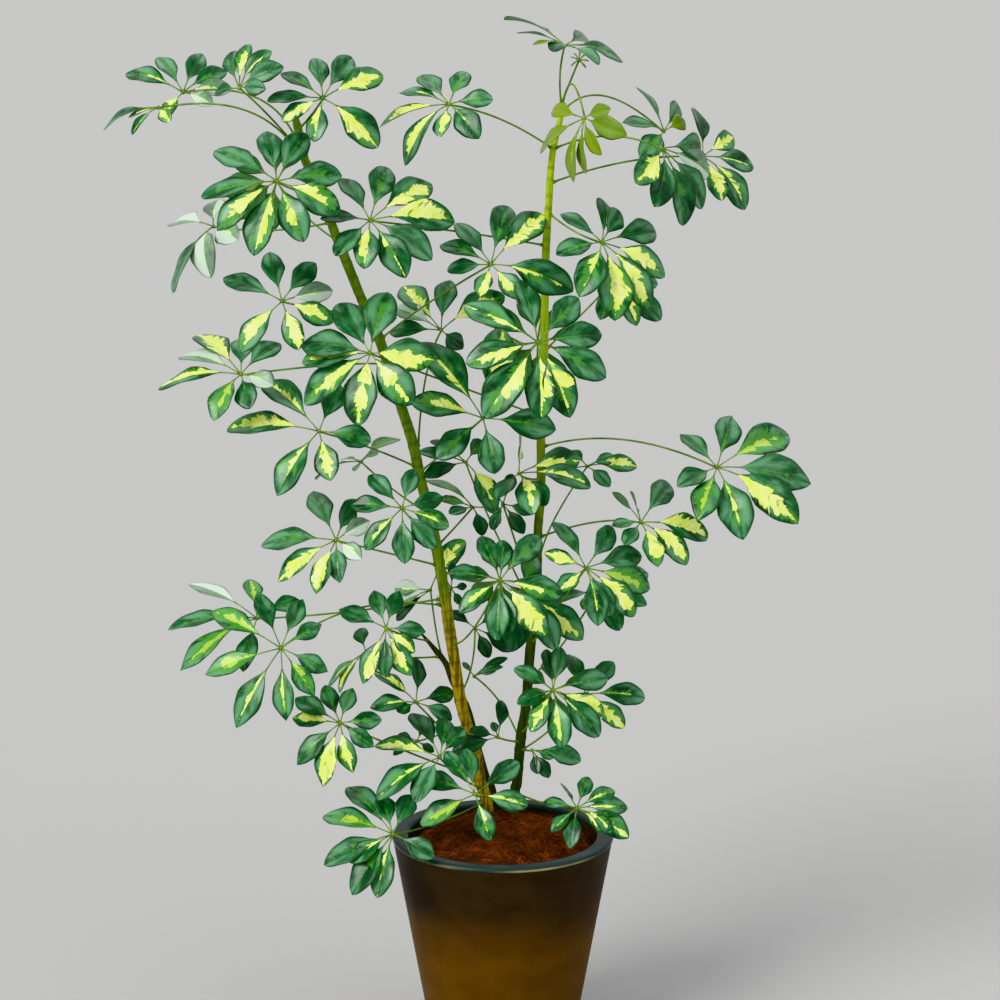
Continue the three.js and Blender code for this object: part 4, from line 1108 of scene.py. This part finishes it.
# %% Lathe
def lathe(sketch, profile, sides, lift=lambda x, y, z: 0):
    """Turns a profile of (radius, height) round the pot's axis; a radius of 0 is a single point."""
    rings = []
    for radius, z in profile:
        ring = []
        for k in range(sides if radius else 1):
            x, y = radius * math.cos(2 * math.pi * k / sides), radius * math.sin(2 * math.pi * k / sides)
            ring.append(sketch.put((x, y, z + lift(x, y, z))))
        rings.append(ring)
    for low, high in zip(rings, rings[1:]):
        for k in range(sides):
            n = (k + 1) % sides
            corners = [low[k % len(low)], low[n % len(low)], high[n % len(high)], high[k % len(high)]]
            sketch.face(tuple(dict.fromkeys(corners)))


def rounded(corners, radius, steps=5):
    """Replaces each inner corner of a profile by a short arc."""
    points = [Vector(c) for c in corners]
    profile = [tuple(points[0])]
    for before, corner, after in zip(points, points[1:], points[2:]):
        r = min(radius, (corner - before).length * 0.45, (after - corner).length * 0.45)
        a = corner + (before - corner).normalized() * r
        b = corner + (after - corner).normalized() * r
        profile += [tuple(bezier(a, corner, b, k / steps)) for k in range(steps + 1)]
    return profile + [tuple(points[-1])]


# %% Make the pot
POT_ROUND = 128
inner_top = POT_HEIGHT - LIP_INNER_DROP
corners = [(0, 0), (FOOT_RADIUS - 4, 0), (FOOT_RADIUS - 1, 1.2), (FOOT_RADIUS, 4)]
corners += [(RIM_RADIUS - inset, POT_HEIGHT - drop) for inset, drop in LIP]
corners += [(inner_radius(inner_top), inner_top), (inner_radius(POT_FLOOR), POT_FLOOR), (0, POT_FLOOR)]
profile = rounded(corners, 2.0)
sketch = Sketch()
lathe(sketch, profile, POT_ROUND)
show(sketch.piece("glazed_pot", [glaze], {}), "glaze", "pot")
print("pot faces:", len(sketch.faces))

# %% [markdown]
# ## Coir mat
# The pot is topped with a mound of matted coconut fibre. Real fibres are too many to model, so a rough dark
# mound carries the bulk and some thousands of short strands lie over it, curled and crossed, with a few
# loose ends standing up. Hair particles would do it too, but strands in the mesh keep their shape in any
# viewer.

# %% Coir materials
coir_mat = two_tone("coir_mat", 0.95, (rgb(34, 12, 4), rgb(74, 30, 8)), 90, 0.2, (240, 900, 0.6), 0.9, 0.003)
coir_strand, shader = new_material("coir_strand", 0.7)
place = object_place(shader)
dark_fibre_and_shade = patch(place, 0.5, 0.2, 34)
color = blend(read(shader, "strand_tone", "Fac"), rgb(80, 32, 9), rgb(186, 98, 40))
# Dark patches on the strands: partly darker fibre, partly the painted shade of hollows in the mat.
paint(shader, blend(dark_fibre_and_shade * 0.7, color, rgb(38, 13, 4)))
bump(shader, use(grain, Place=place, Coarse=900, Fine=3000, Fine_Share=0.5), 0.3, 0.0003)
print("materials:", coir_mat.name, coir_strand.name)

# %% Coir mound
MOUND_RINGS = 44
WAVE_HEIGHT = 1.6
WAVE_LENGTHS = (5.3, 9.1, 6.1, 11)
COARSE_FUZZ, COARSE_LENGTH = 2.2, 6
FINE_FUZZ, FINE_LENGTH = 0.9, 2.2
SETTLED = 1.2
coir_radius = inner_radius(COIR_EDGE) - SEAT_GAP


def tuft(x, y, z):
    """The same crossed waves as in the CAD, with a finer roughness on top."""
    if math.hypot(x, y) > coir_radius - 1 or z < COIR_EDGE:
        return 0
    fuzz = noise.noise(Vector((x / COARSE_LENGTH, y / COARSE_LENGTH, 3))) * COARSE_FUZZ
    fuzz += noise.noise(Vector((x / FINE_LENGTH, y / FINE_LENGTH, 7))) * FINE_FUZZ
    a, b, c, d = WAVE_LENGTHS
    return WAVE_HEIGHT * math.sin(x / a + y / b) * math.cos(y / c - x / d) + fuzz - SETTLED


def mound(share):
    return COIR_EDGE + COIR_RISE * (1 - share * share)


profile = [(0, COIR_UNDERSIDE), (inner_radius(COIR_UNDERSIDE) - SEAT_GAP, COIR_UNDERSIDE)]
profile += [(share * coir_radius, mound(share)) for share in np.linspace(1, 0.02, MOUND_RINGS)]
profile.append((0, mound(0)))
sketch = Sketch()
lathe(sketch, profile, POT_ROUND, tuft)
show(sketch.piece("coir_mound", [coir_mat], {}), "coir_fibre", "coir")
print("coir mound faces:", len(sketch.faces))

# %% Coir strands
STRANDS = 5200
STRAND_STEPS, SHORTEST = 8, 4
STRAND_LIMIT = 0.975
LOOSE_SHARE = 0.06
STEP_LENGTHS, STRAND_LIFTS, THICKNESSES = (2.5, 6.5), (0.2, 1.8), (0.16, 0.4)
STRAND_BEND, STRAND_WANDER = 0.28, 0.14
EDGE_MARGIN = 3
STRAND_SEED = 5
draw = random.Random(STRAND_SEED)
sketch = Sketch()
for _ in range(STRANDS):
    radius = (coir_radius - EDGE_MARGIN) * math.sqrt(draw.random())
    around = draw.uniform(0, 2 * math.pi)
    heading = draw.uniform(0, 2 * math.pi)
    x, y = radius * math.cos(around), radius * math.sin(around)
    step = draw.uniform(*STEP_LENGTHS)
    bend = draw.gauss(0, STRAND_BEND)
    lift = draw.uniform(*STRAND_LIFTS)
    loose = draw.random() < LOOSE_SHARE
    line = []
    for k in range(STRAND_STEPS):
        share = math.hypot(x, y) / coir_radius
        if share > STRAND_LIMIT:
            break
        rise = lift + (k * k * 0.16 if loose else 0.8 * math.sin(k * 1.1 + bend * 9))
        line.append(Vector((x, y, mound(share) + tuft(x, y, COIR_EDGE + 1) + rise)))
        heading += bend + draw.gauss(0, STRAND_WANDER)
        x += step * math.cos(heading)
        y += step * math.sin(heading)
    if len(line) < SHORTEST:
        continue
    thick = draw.uniform(*THICKNESSES)
    tone = draw.random() ** 1.6
    tube(sketch, line, [thick] * (len(line) - 1) + [thick * 0.4], 3, 0, strand_tone=tone)
show(sketch.piece("coir_strands", [coir_strand], {"strand_tone": "FLOAT"}), "coir_fibre")
print("strand faces:", len(sketch.faces))

# %% [markdown]
# ## Soil
# The root ball is hidden under the coir. Its CAD solid has the right shape already, so it stays and only
# gets a crumbly finish.

# %% Soil finish
soil_material = two_tone("potting_soil", 0.95, (rgb(30, 20, 14), rgb(66, 44, 28)), 120, 0.15,
                         (150, 600, 0.6), 0.8, 0.003)
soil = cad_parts["soil"]
soil.data.materials.clear()
soil.data.materials.append(soil_material)
print("soil finish on", soil.name)

# %% [markdown]
# ## Floor and light
# A plain pale floor and broad soft lights show the gloss of the leaves without hard shadows. The large
# light stands in front on the left, as a window would, and weaker ones fill from the right and from above.
# They are sun lamps with a wide angle, so the floor is lit evenly as far as it goes and meets the world's
# pale tone without a line.

# %% Floor
FLOOR_GRAY = rgb(182.7, 183, 183.6)
REACH = 30 / MM
floor_material, shader = new_material("pale_floor", 0.9, Specular_IOR_Level=0.2)
paint(shader, FLOOR_GRAY)
sketch = Sketch()
sketch.face([sketch.put((x * REACH, y * REACH, 0)) for x, y in ((-1, -1), (1, -1), (1, 1), (-1, 1))])
floor = sketch.piece("floor", [floor_material], {})

# %% Lights
WORLD_COLOR, WORLD_STRENGTH = (0.88, 0.875, 0.87, 1), 0.7
LAMP_DISTANCE = 4
bpy.context.scene.view_settings.view_transform = "Khronos PBR Neutral"
world = bpy.data.worlds.new("studio")
bpy.context.scene.world = world
world.use_nodes = True
background = world.node_tree.nodes["Background"]
wire(background.inputs["Color"], WORLD_COLOR)
wire(background.inputs["Strength"], WORLD_STRENGTH)


def soft_light(name, toward, spread, power, color):
    """A very large, far lamp that stands toward a side of the plant; spread is its width in degrees."""
    data = bpy.data.lights.new(name, "SUN")
    data.angle, data.energy, data.color = math.radians(spread), power, color
    lamp = add_object(name, data)
    lamp.location = Vector(toward) * LAMP_DISTANCE
    lamp.rotation_euler = (-Vector(toward)).to_track_quat("-Z", "Y").to_euler()


soft_light("window", (-0.62, -0.55, 0.56), 32, 2.65, (1, 0.98, 0.95))
soft_light("fill", (0.75, -0.5, 0.45), 60, 0.45, (0.95, 0.98, 1))
soft_light("overhead", (0.1, 0.35, 0.93), 50, 0.45, (1, 1, 1))
print("lights:", len(bpy.data.lights))
